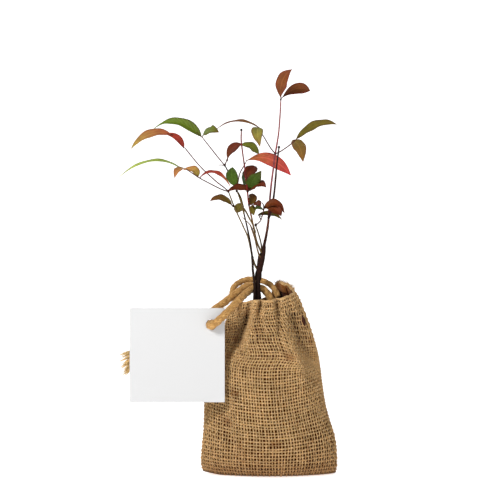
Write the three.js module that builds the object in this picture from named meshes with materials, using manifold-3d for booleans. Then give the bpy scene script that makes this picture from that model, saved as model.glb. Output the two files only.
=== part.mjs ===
// Heavenly bamboo seedling whose root ball stands in a drawstring burlap bag, with a blank swing tag.
// Millimetres, +Z up, the front towards -Y. The origin is on the bag's flat underside, below its mouth.
import * as THREE from 'three';
import Module from 'manifold-3d';

const wasm = await Module();
wasm.setup();

// ---- driving sizes ----
const GAP = 0.3; // clear space between touching pieces
const SLIVER = 0.02; // shortest edge kept where solids are fused
const BAG_SIDES = 56; // facets round the bag
const BAG_WALL = 1.6; // burlap with its hem
const BAG_NECK = 131; // mean height of the mouth
const SOIL_TOP = 112; // ground level inside the mouth
const SOIL_SLACK = 2.6; // root ball to burlap
const ROPE_D = 5.8; // jute drawstring
const LOOP_D = 4.6; // its stretched turn behind the stem
const ROPE_SIDES = 8;
const TAG_W = 70.5;
const TAG_H = 69.5;
const TAG_T = 0.8;
const TAG_HOLE_D = 8.8;
const LEAF_T = 0.6; // thickest part of a leaf, along its midrib
const LEAF_STATIONS = [0.1, 0.28, 0.48, 0.68, 0.86];
const LEAF_WIDEST = 0.42; // share of its length where a leaf is widest, unless its row says
const TWIG_R = 0.45;
const STALK_SUNK = 0.37; // how far a leaf's stalk starts inside its twig
const EYE = 1600; // distance at which the front elevation lines up
const EYE_X = -14.6;
const EYE_RISE = Math.tan(THREE.MathUtils.degToRad(3));

// ---- the bag's form: height, reach to the left, to the right, and half its depth ----
const BAG_FORM = [
  [0, 48, 48.6, 15],
  [4, 50, 50.2, 21.5],
  [12, 51, 50.4, 26.8],
  [22, 50.3, 49.8, 29],
  [31, 49.4, 48, 29.5],
  [41, 48.8, 44.8, 29.4],
  [53, 48.4, 41.7, 28.8],
  [67, 46.8, 39.5, 27.4],
  [81, 43.6, 37.7, 25.2],
  [95, 38.6, 34.9, 22.4],
  [107, 35.2, 30.9, 20.4],
  [116, 33.2, 26.8, 18.8],
  [122, 31.4, 23.9, 17.8],
  [127, 29, 21.6, 17.2],
  [BAG_NECK, 27, 19, 16.8],
];
// Height of the mouth's edge at each sixteenth of a turn, from +X round by the back.
const RIM = [
  136.7, 138.6, 142.2, 144.2, 131.5, 129, 128, 126, 125, 127.2, 129.8, 131.5, 131.5, 132.5, 134.5, 135.8,
];
const RIM_FADE = 36; // the mouth's slope dies out this far below it
// The main folds of the front: across and height of the foot and of the top, reach to the left and to
// the right, and depth inwards.
const FOLDS = [
  { foot: [-23.5, 92], top: [-15, 125], left: 9, right: 3.4, depth: 5.5 },
  { foot: [31, 80], top: [10, 111], left: 4, right: 4, depth: -3 },
  { foot: [34, 80], top: [20.6, 112], left: 7, right: 5, depth: 5 },
];

// Linear reading of a table whose first column rises.
function read(table, at, column) {
  const above = table.findIndex((row) => row[0] >= at);
  if (above <= 0) {
    return table[above === 0 ? 0 : table.length - 1][column];
  }
  const low = table[above - 1];
  const high = table[above];
  return THREE.MathUtils.mapLinear(at, low[0], high[0], low[column], high[column]);
}

function rimHeight(turn) {
  const at = (turn / (Math.PI * 2)) * RIM.length;
  const from = Math.floor(at) % RIM.length;
  const share = THREE.MathUtils.smoothstep(at - Math.floor(at), 0, 1);
  return THREE.MathUtils.lerp(RIM[from], RIM[(from + 1) % RIM.length], share);
}

// How far the folds take the front of the cloth inwards: each is a bell across its line, and fades
// below its foot and above its top.
function foldDepth(x, height, s) {
  const front = THREE.MathUtils.smoothstep(-s, 0, 0.5);
  return FOLDS.reduce((sum, fold) => {
    const along = (height - fold.foot[1]) / (fold.top[1] - fold.foot[1]);
    const off = x - THREE.MathUtils.lerp(fold.foot[0], fold.top[0], along);
    const begun = THREE.MathUtils.smoothstep(height, fold.foot[1] - 12, fold.foot[1] + 8);
    const ended = THREE.MathUtils.smoothstep(height, fold.top[1] + 1, fold.top[1] + 14);
    const bell = Math.exp(-((off / (off < 0 ? fold.left : fold.right)) ** 2));
    return sum + front * fold.depth * begun * (1 - ended) * bell;
  }, 0);
}

// A point of the bag's cloth: an oval pinched towards its two side seams, gathered in soft flutes near
// the mouth and folded at the front, moved inwards by inset.
function bagPoint(turn, height, inset) {
  const c = Math.cos(turn);
  const s = Math.sin(turn);
  const drawn = THREE.MathUtils.smoothstep(height, 84, BAG_NECK);
  const flute = 1 + drawn * (0.05 * Math.cos(9 * turn + 1) + 0.035 * Math.cos(14 * turn + 2.4));
  const pinch = 1 - 0.32 * (1 - drawn) * c * c;
  const side = c > 0 ? read(BAG_FORM, height, 2) : read(BAG_FORM, height, 1);
  const x = side * c * (0.7 + 0.3 * flute);
  const y = read(BAG_FORM, height, 3) * s * pinch * flute + foldDepth(x, height, s);
  const slope = THREE.MathUtils.smoothstep(height, BAG_NECK - RIM_FADE, BAG_NECK);
  const rise = (rimHeight(turn) - BAG_NECK) * slope;
  const reach = Math.hypot(x, y);
  const kept = (reach - inset) / reach;
  return new THREE.Vector3(x * kept, y * kept, height + rise);
}

function bagRing(height, inset) {
  return Array.from({ length: BAG_SIDES }, (_, i) => bagPoint((i / BAG_SIDES) * Math.PI * 2, height, inset));
}

// ---- closed skins ----
// Rings of equal count, each anticlockwise as seen from the end, joined by a skin and closed at both ends.
function skin(rings, start, end) {
  const count = rings[0].length;
  const points = [start, ...rings.flat(), end];
  const index = [];
  const at = (i, j) => 1 + i * count + (j % count);
  for (let j = 0; j < count; j += 1) {
    index.push(0, at(0, j + 1), at(0, j));
    for (let i = 0; i + 1 < rings.length; i += 1) {
      index.push(at(i, j), at(i, j + 1), at(i + 1, j + 1));
      index.push(at(i, j), at(i + 1, j + 1), at(i + 1, j));
    }
    index.push(points.length - 1, at(rings.length - 1, j), at(rings.length - 1, j + 1));
  }
  const geometry = new THREE.BufferGeometry().setFromPoints(points);
  geometry.setIndex(index);
  return geometry;
}

function toSolid(geometry) {
  return new wasm.Manifold(new wasm.Mesh({
    numProp: 3,
    vertProperties: Float32Array.from(geometry.getAttribute('position').array),
    triVerts: Uint32Array.from(geometry.getIndex().array),
  }));
}

function toGeometry(solid) {
  const mesh = solid.getMesh();
  const geometry = new THREE.BufferGeometry();
  geometry.setAttribute('position', new THREE.BufferAttribute(mesh.vertProperties, mesh.numProp));
  geometry.setIndex(new THREE.BufferAttribute(mesh.triVerts, 1));
  return geometry;
}

// The largest body of a cut solid, with edges under SLIVER collapsed; scraps are dropped.
function largest(solid) {
  const bodies = solid.simplify(SLIVER).decompose();
  return bodies.reduce((best, body) => (body.volume() > best.volume() ? body : best));
}

// ---- limbs ----
// Front elevation to space: across, depth and height, as they line up from the front.
function place([across, depth, height]) {
  return new THREE.Vector3(
    EYE_X + (across - EYE_X) * (1 + depth / EYE),
    depth,
    height - depth * EYE_RISE,
  );
}

// A limb of round section along a smooth curve through its points; radii run evenly along it.
function limbSkin(points, radii, sides, steps, grow = 0) {
  const curve = new THREE.CatmullRomCurve3(points, false, 'centripetal');
  const frames = curve.computeFrenetFrames(steps, false);
  const rings = [];
  for (let i = 0; i <= steps; i += 1) {
    const along = (i / steps) * (radii.length - 1);
    const low = Math.min(Math.floor(along), radii.length - 2);
    const radius = THREE.MathUtils.lerp(radii[low], radii[low + 1], along - low) + grow;
    const centre = curve.getPointAt(i / steps);
    centre.addScaledVector(frames.tangents[i], grow * ((i === steps) - (i === 0)));
    const ring = [];
    for (let j = 0; j < sides; j += 1) {
      const turn = (j / sides) * Math.PI * 2;
      const out = frames.normals[i].clone().multiplyScalar(Math.cos(turn) * radius);
      out.addScaledVector(frames.binormals[i], Math.sin(turn) * radius);
      ring.push(out.add(centre));
    }
    rings.push(ring);
  }
  const start = curve.getPointAt(0).addScaledVector(frames.tangents[0], -grow);
  const end = curve.getPointAt(1).addScaledVector(frames.tangents[steps], grow);
  return skin(rings, start, end);
}

// The solid of a stalk's row, or of its surface moved out by grow.
function limb(row, grow = 0) {
  return toSolid(limbSkin(row.points.map(place), row.radii, row.sides ?? 6, row.steps, grow));
}

// ---- leaves ----
// A lance-shaped blade from base to tip. Its midrib bows by bow, its upper side looks along face and
// its halves rise from the midrib by fold. The width follows t^p (1 - t)^q and peaks at the widest share.
function leafLine(leaf, t) {
  const line = place(leaf.base).lerp(place(leaf.tip), t);
  return line.addScaledVector(new THREE.Vector3(...leaf.bow), 4 * t * (1 - t));
}

function leafSolid(leaf) {
  const q = 1.05;
  const widest = leaf.widest ?? LEAF_WIDEST;
  const p = (widest * q) / (1 - widest);
  const peak = widest ** p * (1 - widest) ** q;
  const rings = LEAF_STATIONS.map((t) => {
    const centre = leafLine(leaf, t);
    const ahead = leafLine(leaf, t + 0.02).sub(leafLine(leaf, t - 0.02)).normalize();
    const face = new THREE.Vector3(...leaf.face).lerp(new THREE.Vector3(...(leaf.turned ?? leaf.face)), t);
    const side = ahead.clone().cross(face).normalize();
    const up = side.clone().cross(ahead).normalize();
    const half = (leaf.width / 2) * ((t ** p * (1 - t) ** q) / peak);
    const edgeLift = half * leaf.fold;
    const right = centre.clone().addScaledVector(side, half).addScaledVector(up, edgeLift);
    const top = centre.clone().addScaledVector(up, LEAF_T / 2);
    const left = centre.clone().addScaledVector(side, -half).addScaledVector(up, edgeLift);
    const under = centre.clone().addScaledVector(up, -LEAF_T / 2);
    return [right, under, left, top].reverse();
  });
  const solid = toSolid(skin(rings, leafLine(leaf, 0), leafLine(leaf, 1)));
  return solid.volume() > 0 ? solid : toSolid(skin(rings.map((r) => r.reverse()), leafLine(leaf, 0),
    leafLine(leaf, 1)));
}

// A mass of foliage: its twigs, and its leaves on stalks whose ends are sunk into blade and twig.
function massSolid(row) {
  const twigs = row.twigs.map((twig) => limb({ sides: 4, radii: [TWIG_R * 1.2, TWIG_R], ...twig }));
  const stalks = row.leaves.map((leaf) => {
    const foot = place(leaf.from ?? row.twigs[0].points.at(-1));
    const root = leafLine(leaf, 0);
    const inside = leafLine(leaf, 0.16);
    foot.addScaledVector(inside.clone().sub(foot).normalize(), -STALK_SUNK);
    const points = foot.distanceTo(root) < 0.8 ? [foot, inside] : [foot, root, inside];
    return toSolid(limbSkin(points, [TWIG_R, TWIG_R * 0.7], 4, points.length + 1));
  });
  return wasm.Manifold.union([...twigs, ...stalks, ...row.leaves.map(leafSolid)]);
}

// ---- stems and stalks: across, depth, height of points along each, foot first ----
const TRUNK = {
  points: [[-9.1, 0, SOIL_TOP + GAP], [-9, 0, 122], [-8.8, 0, 133], [-8.5, 0, 147.3], [-7.3, 0, 154.5],
    [-6.6, 0, 159.5], [-5.6, 0, 164], [-4.6, 0, 168.8]],
  radii: [3.4, 2.5, 2.15, 2.05, 1.6, 1.9, 2.55, 1.5],
  sides: 10,
  steps: 14,
};
const STALKS = {
  second_stem: {
    points: [[-12.8, -4.5, SOIL_TOP + GAP + 0.1], [-11.3, -3.4, 131], [-11.3, -3.3, 144.5], [-12.4, -3.4, 153],
      [-13, -3.5, 163.5], [-15.3, -3.6, 178.9], [-18.9, -3.4, 195.2], [-21.3, -2.4, 206.3], [-24.4, -1, 212.8],
      [-31.3, 1, 228.1], [-33.4, 1.5, 232.1]],
    radii: [1.5, 1.1, 0.95, 0.8, 0.6, 0.75],
    steps: 18,
  },
  long_stalk: {
    points: [[-4.7, 0, 167.6], [-3.1, 0, 176.3], [-1.3, 0, 186.3], [-0.4, 0, 196], [0.9, -0.2, 213.8],
      [3, 0.3, 231.1], [4.3, 0.5, 240.7], [6.8, 0, 256.3], [8.1, -0.5, 273.8], [8.4, -0.5, 280.9]],
    radii: [1.15, 1, 0.8, 0.7, 0.6, 0.75],
    steps: 16,
  },
  cut_stalk_right: {
    points: [[-0.2, -1, 193.4], [1, -1.8, 197], [2.9, -2.8, 207], [3.8, -3.4, 213.8], [5.3, -4, 231],
      [7.1, -4.2, 245.3]],
    radii: [0.8, 0.75, 0.7, 0.65, 0.6, 1.05],
    steps: 12,
  },
  cut_stalk_left: {
    points: [[-5.4, -0.6, 165.6], [-7.2, -1.2, 169.4], [-9.5, -1.9, 175], [-10.8, -2.2, 180.5], [-12.8, -2.8, 190.3],
      [-15.5, -5, 203], [-16.5, -5.8, 212.3], [-18.3, -6.4, 228], [-21.1, -7.2, 249.8], [-21.1, -7.4, 258]],
    radii: [1, 0.9, 0.85, 0.75, 0.7, 0.65, 0.6, 1.05],
    steps: 16,
  },
  left_stalk: {
    points: [[-8.6, 0.6, 152.6], [-10.6, 1, 157.1], [-12.6, 1.4, 163], [-14.2, 1.8, 170.2], [-16.2, 2.2, 178.6],
      [-20.3, 3.2, 187.8], [-26.8, 4.4, 202.3], [-30.8, 5, 212.9]],
    radii: [1, 0.85, 0.75, 0.65, 0.6, 0.85],
    steps: 16,
  },
  middle_stalk: {
    points: [[-10.9, -0.6, 182.6], [-12.6, 0.6, 188], [-15.1, 1.5, 192.6], [-17.9, 2.3, 198],
      [-20.1, 2.6, 201.2]],
    radii: [0.7, 0.6, 0.55, 0.75],
    steps: 8,
  },
  front_stalk: {
    points: [[-6.4, -1.4, 162.4], [-8.2, -3, 166.2], [-9.4, -4.2, 170.6], [-11, -5, 177.6], [-13.1, -5.6, 184],
      [-14.5, -6, 187.5], [-18.6, -7, 191.6], [-21.4, -7.6, 194.5]],
    radii: [0.95, 0.85, 0.8, 0.9, 0.4, 0.3],
    steps: 12,
  },
  back_stalk: {
    points: [[-5.9, 2.2, 166.6], [-6, 2.9, 171.5], [-7, 3.2, 176.6], [-8.4, 3.4, 181.5], [-10.4, 3.6, 187.4]],
    radii: [0.9, 0.8, 0.7, 0.95],
    steps: 8,
  },
};

// ---- foliage: twigs from one stem, and leaves as base, tip, bow of the midrib, width and facing ----
const FRONT = [0, -1, 0.15];
const FRONT_UP = [0, -0.75, 0.65];
const UP = [0, -0.32, 1];
const BACK_UP = [0, 0.6, 0.8];
const MASSES = {
  leaves_top: {
    colour: 0x8c5230,
    twigs: [{ points: [[8.5, -0.5, 281.2], [8.7, -1, 283.2]], steps: 2 }],
    leaves: [
      { base: [8.6, -1.4, 285], tip: [15, -11, 303.4], bow: [-2.4, 0, 0], width: 9.4, face: FRONT_UP, fold: 0.2,
        widest: 0.6 },
      { base: [11, 1.4, 283.4], tip: [30.3, 17, 288.8], bow: [-0.4, 0, 4], width: 8.4, face: FRONT_UP, fold: 0.2,
        widest: 0.58 },
    ],
  },
  leaves_right: {
    colour: 0x7d6a22,
    twigs: [{ points: [[5.2, 1, 241.3], [8.1, 1.2, 242.6], [17.4, 0, 249.2], [20, -1, 251.8]], steps: 6 }],
    leaves: [
      { base: [21.1, -3, 254.3], tip: [50.2, -21, 264.3], bow: [0, 0, 4.2], width: 8, face: FRONT_UP, fold: 0.3 },
      { base: [19.5, 3, 250], tip: [27.4, 19, 235.5], bow: [1.4, 0, 2.6], width: 8.6, face: BACK_UP, fold: 0.2 },
    ],
  },
  leaves_upper_left: {
    colour: 0x8a6a38,
    twigs: [{ points: [[3.4, 1, 241.6], [1, 1.6, 245], [-4.6, 4, 254.3], [-8.4, 6, 259.4]], steps: 6 }],
    leaves: [
      { base: [-12.1, 9, 262.8], tip: [-38.7, 26, 261.5], bow: [0, 0, 3.8], width: 7, face: UP, fold: 0.25 },
      { base: [-8, 3, 259.5], tip: [-5.8, -16, 247.2], bow: [-0.6, 0, 1.6], width: 8.8, face: FRONT_UP, fold: 0.15,
        widest: 0.34 },
    ],
  },
  leaf_red: {
    colour: 0xd9594a,
    twigs: [{ points: [[-24.5, -0.8, 213.2], [-24.2, 1.8, 216], [-23.5, 3.8, 220], [-22.1, 4.4, 226.6],
      [-19.1, 4.8, 232.1], [-17.4, 5, 235.2]], steps: 8 }],
    leaves: [
      { base: [-14.8, 5, 237.4], tip: [15.9, 12, 225.4], bow: [0, 0, 6.2], width: 9.6, face: FRONT, fold: 0.3 },
    ],
  },
  leaves_tall_left: {
    colour: 0x789430,
    twigs: [{ points: [[-33.6, 2.4, 232.4], [-35.2, 4, 234.3], [-39.5, 8, 239.8], [-45.5, 12, 247.6],
      [-50, 14.5, 253.5]], steps: 6 }],
    leaves: [
      { base: [-51, 16, 254.6], tip: [-84.1, 26, 260.5], bow: [0, 0, 7.8], width: 8.4, face: FRONT_UP, fold: 0.3,
        widest: 0.33 },
      { base: [-49.6, 12.8, 255], tip: [-40.2, -8, 256.6], bow: [-0.6, 0, 4.8], width: 8.6, face: FRONT_UP,
        fold: 0.15 },
    ],
  },
  leaves_short_left: {
    colour: 0x74451f,
    twigs: [{ points: [[-33.1, 0.8, 232.4], [-32, -0.2, 236], [-31.2, 0, 238.2]], steps: 3 }],
    leaves: [
      { base: [-31.4, 0, 238], tip: [-20.6, -1.5, 248.4], bow: [-2.4, 0, 2], width: 7.4, face: FRONT, fold: 0.2,
        widest: 0.55 },
      { from: [-25.8, -1, 247], base: [-22.6, 0.4, 247.4], tip: [-8.8, 7, 242.3], bow: [0.4, 0, 2.8], width: 7,
        face: FRONT_UP, fold: 0.2 },
    ],
  },
  leaves_long_left: {
    colour: 0xc0632c,
    twigs: [{ points: [[-31, 5.4, 213.1], [-34.2, 7, 216], [-38.7, 7.8, 219.4], [-46, 8.6, 225.9],
      [-52.5, 8.4, 232.4], [-63.7, 6, 245.9]], steps: 9 }],
    leaves: [
      { base: [-64.1, 5.5, 248], tip: [-77, 3, 257.4], bow: [1.6, 0, 2.6], width: 5.4, face: FRONT, fold: 0.25 },
      { from: [-72, 4, 255], base: [-74, 3.4, 256.6], tip: [-102.1, -9, 245.8], bow: [-1, 0, 5], width: 7.6,
        face: FRONT_UP, fold: 0.3 },
    ],
  },
  leaves_low_left: {
    colour: 0x9aa045,
    twigs: [{ points: [[-31, 4.7, 212.5], [-34.6, 2.4, 213.8], [-44.3, -3, 218.3], [-53.1, -8, 222.9],
      [-63.1, -12, 229.4]], steps: 8 }],
    leaves: [
      { base: [-67.6, -14, 231.2], tip: [-110, -27, 224.6], bow: [0, 0, 7.6], width: 6.4, face: UP, fold: 0.25,
        widest: 0.3 },
      { from: [-54, -8.5, 223.4], base: [-54.2, -7.4, 224.8], tip: [-65, 4, 230.4], bow: [2.6, 0, 3.2], width: 6.4,
        face: FRONT_UP, fold: 0.2 },
      { base: [-62.9, -14, 230.3], tip: [-70.9, -28, 223.8], bow: [-1, 0, 2.8], width: 6.6, face: UP, fold: 0.2 },
      { from: [-51.5, -7.5, 222.3], base: [-51.6, -9, 224], tip: [-29.7, -15, 217.2], bow: [0, 0, 6.2], width: 6.6,
        face: UP, fold: 0.25 },
    ],
  },
  leaves_middle_left: {
    colour: 0x4f7d20,
    twigs: [{ points: [[-25.6, -1.9, 214.4], [-25.4, -3, 216], [-25.2, -3.6, 217.6]], steps: 3 }],
    leaves: [
      { base: [-25.3, -4, 218], tip: [-27.9, -21, 231.2], bow: [-1.8, 0, 1], width: 9, face: [0, -0.7, -0.7],
        fold: 0.15 },
    ],
  },
  leaves_middle: {
    colour: 0x5c3a1c,
    twigs: [{ points: [[-15.4, -5.1, 213], [-15, -4, 213.2], [-14.4, -2.6, 213.8]], steps: 3 }],
    leaves: [
      { base: [-18.6, 0, 215.6], tip: [-18.9, 12, 228.2], bow: [-1, 0, 0.6], width: 6.6, face: [1, -0.45, 0.3],
        fold: 0.2 },
      { base: [-16.8, 2.5, 223.4], tip: [-9.6, 17, 232], bow: [-1.2, 0, 0.8], width: 9.2, face: FRONT_UP, fold: 0.15 },
      { base: [-14, -2, 215.4], tip: [-6.2, -18, 226.6], bow: [-0.8, 0, 1], width: 7.8, face: [0, -0.8, -0.5],
        fold: 0.2 },
      { base: [-12.4, -3.2, 214.1], tip: [-0.5, -14, 216.6], bow: [0, 0, 3], width: 8.2, face: FRONT_UP,
        fold: 0.2 },
      { base: [-18, -3.6, 214], tip: [-31, -10.5, 213.2], bow: [0, 0, 2.2], width: 6.4, face: FRONT_UP,
        fold: 0.2 },
    ],
  },
  leaf_lower_left: {
    colour: 0x6a5a20,
    twigs: [{ points: [[-27.4, 3.4, 201.8], [-28, 2.4, 202.2], [-29, 1.6, 203]], steps: 2 }],
    leaves: [
      { base: [-28.6, 1.5, 203], tip: [-43, -7, 206], bow: [0, 0, 3], width: 6.2, face: FRONT_UP, fold: 0.25 },
    ],
  },
  leaf_lower_middle: {
    colour: 0x6d5622,
    twigs: [{ points: [[-20.5, 3.1, 201.9], [-21, 4.2, 202.9]], steps: 2 }],
    leaves: [
      { base: [-21.2, 4.6, 203], tip: [-24.6, 20, 195.6], bow: [0.6, 0, 1.6], width: 8.6, face: BACK_UP, fold: 0.15 },
    ],
  },
  leaves_lower_centre: {
    colour: 0x6b4a20,
    twigs: [{ points: [[-14.6, -5.4, 202.6], [-13.9, -5.8, 203.2]], steps: 2 }],
    leaves: [
      { base: [-13.9, -5, 203.6], tip: [-12.2, 9, 211.6], bow: [-0.9, 0, 1], width: 7, face: FRONT_UP, fold: 0.2 },
      { base: [-12.2, -6.4, 203.8], tip: [-5.9, -19, 203.2], bow: [0, 0, 1.4], width: 4.6, face: FRONT_UP,
        fold: 0.2 },
      { base: [-12.6, -6.6, 202.6], tip: [-11.8, -20, 195.6], bow: [0, 0, 1.4], width: 4.2, face: FRONT_UP,
        fold: 0.2 },
    ],
  },
  leaves_lower_right: {
    colour: 0x6b2a18,
    twigs: [
      { points: [[-9.8, 3.2, 188], [-8.1, 1.6, 189.2], [-6.4, -0.6, 191.2], [-5.2, -3, 195.2], [-4.6, -5, 197.6],
        [-3.6, -6, 200.6]], steps: 8 },
      { points: [[-6.4, -0.6, 191.2], [-8.3, -1.6, 195.6]], steps: 2 },
      { points: [[-4.6, -5, 197.6], [-4.4, -5, 202], [-5.7, -4, 204.4]], steps: 3 },
    ],
    leaves: [
      { from: [-8.3, -1.6, 195.6], base: [-8.1, -2.4, 196.4], tip: [-3.8, -14, 200.6], bow: [0, 0, 0.6],
        width: 4.8, face: FRONT_UP, fold: 0.2 },
      { base: [-2.9, -6.4, 201.2], tip: [12, -11, 197.6], bow: [0.4, 0, 6], width: 6.6, face: FRONT_UP, fold: 0.2 },
      { base: [-2.4, -5.8, 200.2], tip: [9, -17, 195], bow: [0, 0, 2.6], width: 9.4, face: FRONT_UP, fold: 0.2,
        widest: 0.5 },
      { from: [-5.4, -2.6, 194.6], base: [-4.8, -0.4, 197], tip: [9.7, 13, 193.8], bow: [0.6, 0, 2], width: 5,
        face: UP, fold: 0.25 },
    ],
  },
};

// ---- drawstring routes, in space ----
const ROPE_TAIL_LONG = [[-8.4, 10.2, 124], [-8.6, 11.4, 131], [-9.8, 12.2, 137], [-13, 11.3, 141],
  [-17, 8.1, 141], [-21.4, 3.4, 138.6], [-27, -2, 134.8], [-35.6, -8.6, 128.6], [-45, -12.8, 122.4],
  [-60, -15.4, 113], [-80, -16.8, 100.7], [-96, -17.2, 90.6], [-103.6, -17.2, 85.6]];
const ROPE_TAIL_SHORT = [[12, 2, 119], [7.6, 3.4, 123], [2.6, 4.8, 129], [-0.6, 6, 134.2], [-3.6, 6.4, 138],
  [-7.4, 6, 139.8], [-12.2, 4, 139.4], [-16.6, -1.9, 137.1], [-20.8, -8.8, 133.8], [-25.6, -15.4, 129.4],
  [-32.6, -23.4, 122.8], [-37.6, -25.8, 118.2], [-41.4, -25.2, 115.2], [-43.2, -21.4, 114.2],
  [-43.4, -16.4, 114], [-43.4, -12.4, 114]];
const ROPE_LOOP = [[6.6, 8.2, 133], [4.2, 10, 138], [0.4, 13, 142], [-5.2, 15.4, 144.6], [-11.5, 16.8, 145.6],
  [-18, 15, 145.2], [-23.6, 11, 143], [-27.2, 6.9, 139.6], [-27.8, 5.3, 135], [-24.4, 4.4, 129]];
const FRAY = { reach: 8.6, spread: 7.2, root: 2.5, thick: 5.2 };
const TAG = { centre: [-68.6, 89.6], hole: [-43.4, 114.2], top: -18.4, foot: -24.6 };

function rope(points, diameter) {
  const curve = new THREE.CatmullRomCurve3(points.map((p) => new THREE.Vector3(...p)), false, 'centripetal');
  const section = new THREE.Shape();
  for (let i = 0; i < ROPE_SIDES; i += 1) {
    const turn = (i / ROPE_SIDES) * Math.PI * 2;
    section[i ? 'lineTo' : 'moveTo'](Math.cos(turn) * diameter / 2, Math.sin(turn) * diameter / 2);
  }
  const steps = Math.round(curve.getLength() / diameter);
  return new THREE.ExtrudeGeometry(section, { steps, bevelEnabled: false, extrudePath: curve });
}

// The opened strands at the rope's end: a flat brush, drawn along and across the rope, that widens.
function fray() {
  const end = new THREE.Vector3(...ROPE_TAIL_LONG.at(-1));
  const along = end.clone().sub(new THREE.Vector3(...ROPE_TAIL_LONG.at(-2))).normalize();
  const { reach, spread, root, thick } = FRAY;
  const brush = new THREE.Shape();
  brush.moveTo(GAP, -root);
  brush.lineTo(reach * 0.6, -spread);
  brush.lineTo(reach, -spread * 0.5);
  brush.lineTo(reach * 0.9, spread * 0.4);
  brush.lineTo(reach * 0.5, spread);
  brush.lineTo(GAP, root);
  const geometry = new THREE.ExtrudeGeometry(brush, { depth: thick, bevelEnabled: false });
  geometry.translate(0, 0, -thick / 2);
  geometry.rotateX(Math.PI / 2);
  geometry.rotateY(Math.atan2(-along.z, along.x));
  geometry.translate(end.x, end.y, end.z);
  return geometry;
}

// The tag leans back a little and is pierced where the rope passes.
function tag() {
  const card = new THREE.Shape();
  card.moveTo(-TAG_W / 2, -TAG_H / 2);
  card.lineTo(TAG_W / 2, -TAG_H / 2);
  card.lineTo(TAG_W / 2, TAG_H / 2);
  card.lineTo(-TAG_W / 2, TAG_H / 2);
  const hole = new THREE.Path();
  hole.absarc(TAG.hole[0] - TAG.centre[0], TAG.hole[1] - TAG.centre[1], TAG_HOLE_D / 2, 0, Math.PI * 2);
  card.holes.push(hole);
  const geometry = new THREE.ExtrudeGeometry(card, { depth: TAG_T, bevelEnabled: false, curveSegments: 12 });
  geometry.rotateX(Math.PI / 2);
  geometry.rotateX(-Math.atan2(TAG.top - TAG.foot, TAG_H));
  geometry.translate(TAG.centre[0], (TAG.top + TAG.foot) / 2, TAG.centre[1]);
  return geometry;
}

// ---- bag and root ball ----
function bag() {
  const outside = BAG_FORM.map((row) => bagRing(row[0], 0));
  const inside = BAG_FORM.filter((row) => row[0] > 4).reverse().map((row) => bagRing(row[0], BAG_WALL));
  const floor = bagRing(BAG_WALL, BAG_WALL + 0.6);
  return skin([...outside, ...inside, floor], new THREE.Vector3(14, 5, 0), new THREE.Vector3(0, 0, BAG_WALL));
}

function rootBall() {
  const inset = BAG_WALL + SOIL_SLACK;
  const heights = BAG_FORM.map((row) => row[0]).filter((height) => height > 4 && height < SOIL_TOP - 2);
  const foot = bagRing(BAG_WALL + GAP, inset + 1);
  const rings = [foot, ...heights.map((height) => bagRing(height, inset))];
  const top = bagRing(SOIL_TOP, inset);
  top.forEach((point) => {
    point.z = SOIL_TOP;
  });
  return skin([...rings, top], new THREE.Vector3(0, 0, BAG_WALL + GAP), new THREE.Vector3(4, 2, SOIL_TOP));
}

// ---- assembly ----
const plant = new THREE.Group();

function add(name, geometry, color, roughness = 0.8) {
  const mesh = new THREE.Mesh(geometry, new THREE.MeshStandardMaterial({ color, roughness, metalness: 0 }));
  mesh.name = name;
  plant.add(mesh);
}

// Each limb is cut clear of the limbs before it, and each mass of every limb.
const clearances = [];

function clearOf(solid) {
  return largest(clearances.reduce((left, taken) => left.subtract(taken), solid));
}

add('burlap_bag', bag(), 0xb8945f, 0.95);
add('root_ball', rootBall(), 0x3a2a1e, 1);
add('trunk', toGeometry(limb(TRUNK)), 0x3a1d1a, 0.7);
clearances.push(limb(TRUNK, GAP));
for (const [name, row] of Object.entries(STALKS)) {
  add(name, toGeometry(clearOf(limb(row))), 0x7a3a34, 0.6);
  clearances.push(limb(row, GAP));
}
for (const [name, row] of Object.entries(MASSES)) {
  add(name, toGeometry(clearOf(massSolid(row))), row.colour, 0.5);
}
add('rope_loop', rope(ROPE_LOOP, LOOP_D), 0xb98f52, 0.95);
add('rope_tail_short', rope(ROPE_TAIL_SHORT, ROPE_D), 0xc79a5a, 0.95);
add('rope_tail_long', rope(ROPE_TAIL_LONG, ROPE_D), 0xc79a5a, 0.95);
add('rope_fray', fray(), 0xd2a765, 0.95);
add('swing_tag', tag(), 0xeeeeee, 0.6);

export default plant;
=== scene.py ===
"""A heavenly bamboo seedling whose root ball stands in a drawstring burlap bag, with a blank swing tag.

Sizes are named in millimetres and become metres as each mesh is made. X runs to the right, Y to the
back and Z up, from the middle of the bag's flat underside. Each surface is worked out by numpy as a
grid: rings of points carried along a path, or a height and a turn round the bag.
"""
import math

import bpy
import numpy as np
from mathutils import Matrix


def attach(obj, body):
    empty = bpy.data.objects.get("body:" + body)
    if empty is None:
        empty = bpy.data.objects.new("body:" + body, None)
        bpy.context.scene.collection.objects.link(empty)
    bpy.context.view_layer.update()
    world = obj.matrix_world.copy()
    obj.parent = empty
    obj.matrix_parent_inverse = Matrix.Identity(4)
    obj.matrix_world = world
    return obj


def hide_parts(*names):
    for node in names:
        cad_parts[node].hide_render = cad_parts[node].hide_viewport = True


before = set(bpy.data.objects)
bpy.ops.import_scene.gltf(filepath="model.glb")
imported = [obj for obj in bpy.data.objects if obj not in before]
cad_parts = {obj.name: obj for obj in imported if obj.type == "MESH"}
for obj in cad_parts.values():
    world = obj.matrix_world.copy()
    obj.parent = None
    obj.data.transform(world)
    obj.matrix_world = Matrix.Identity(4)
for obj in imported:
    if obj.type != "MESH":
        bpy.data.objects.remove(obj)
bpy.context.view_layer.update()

MM = 0.001
TAU = 2 * math.pi
rng = np.random.default_rng(11)

# ---- the view that the front elevation lines up from ----
EYE = 1600.0
EYE_X = -14.6
EYE_Z = 168.75
EYE_TILT = math.radians(3)
VIEW_WIDTH = 375.0  # seen across at the stem
SENSOR = 36.0

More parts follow.
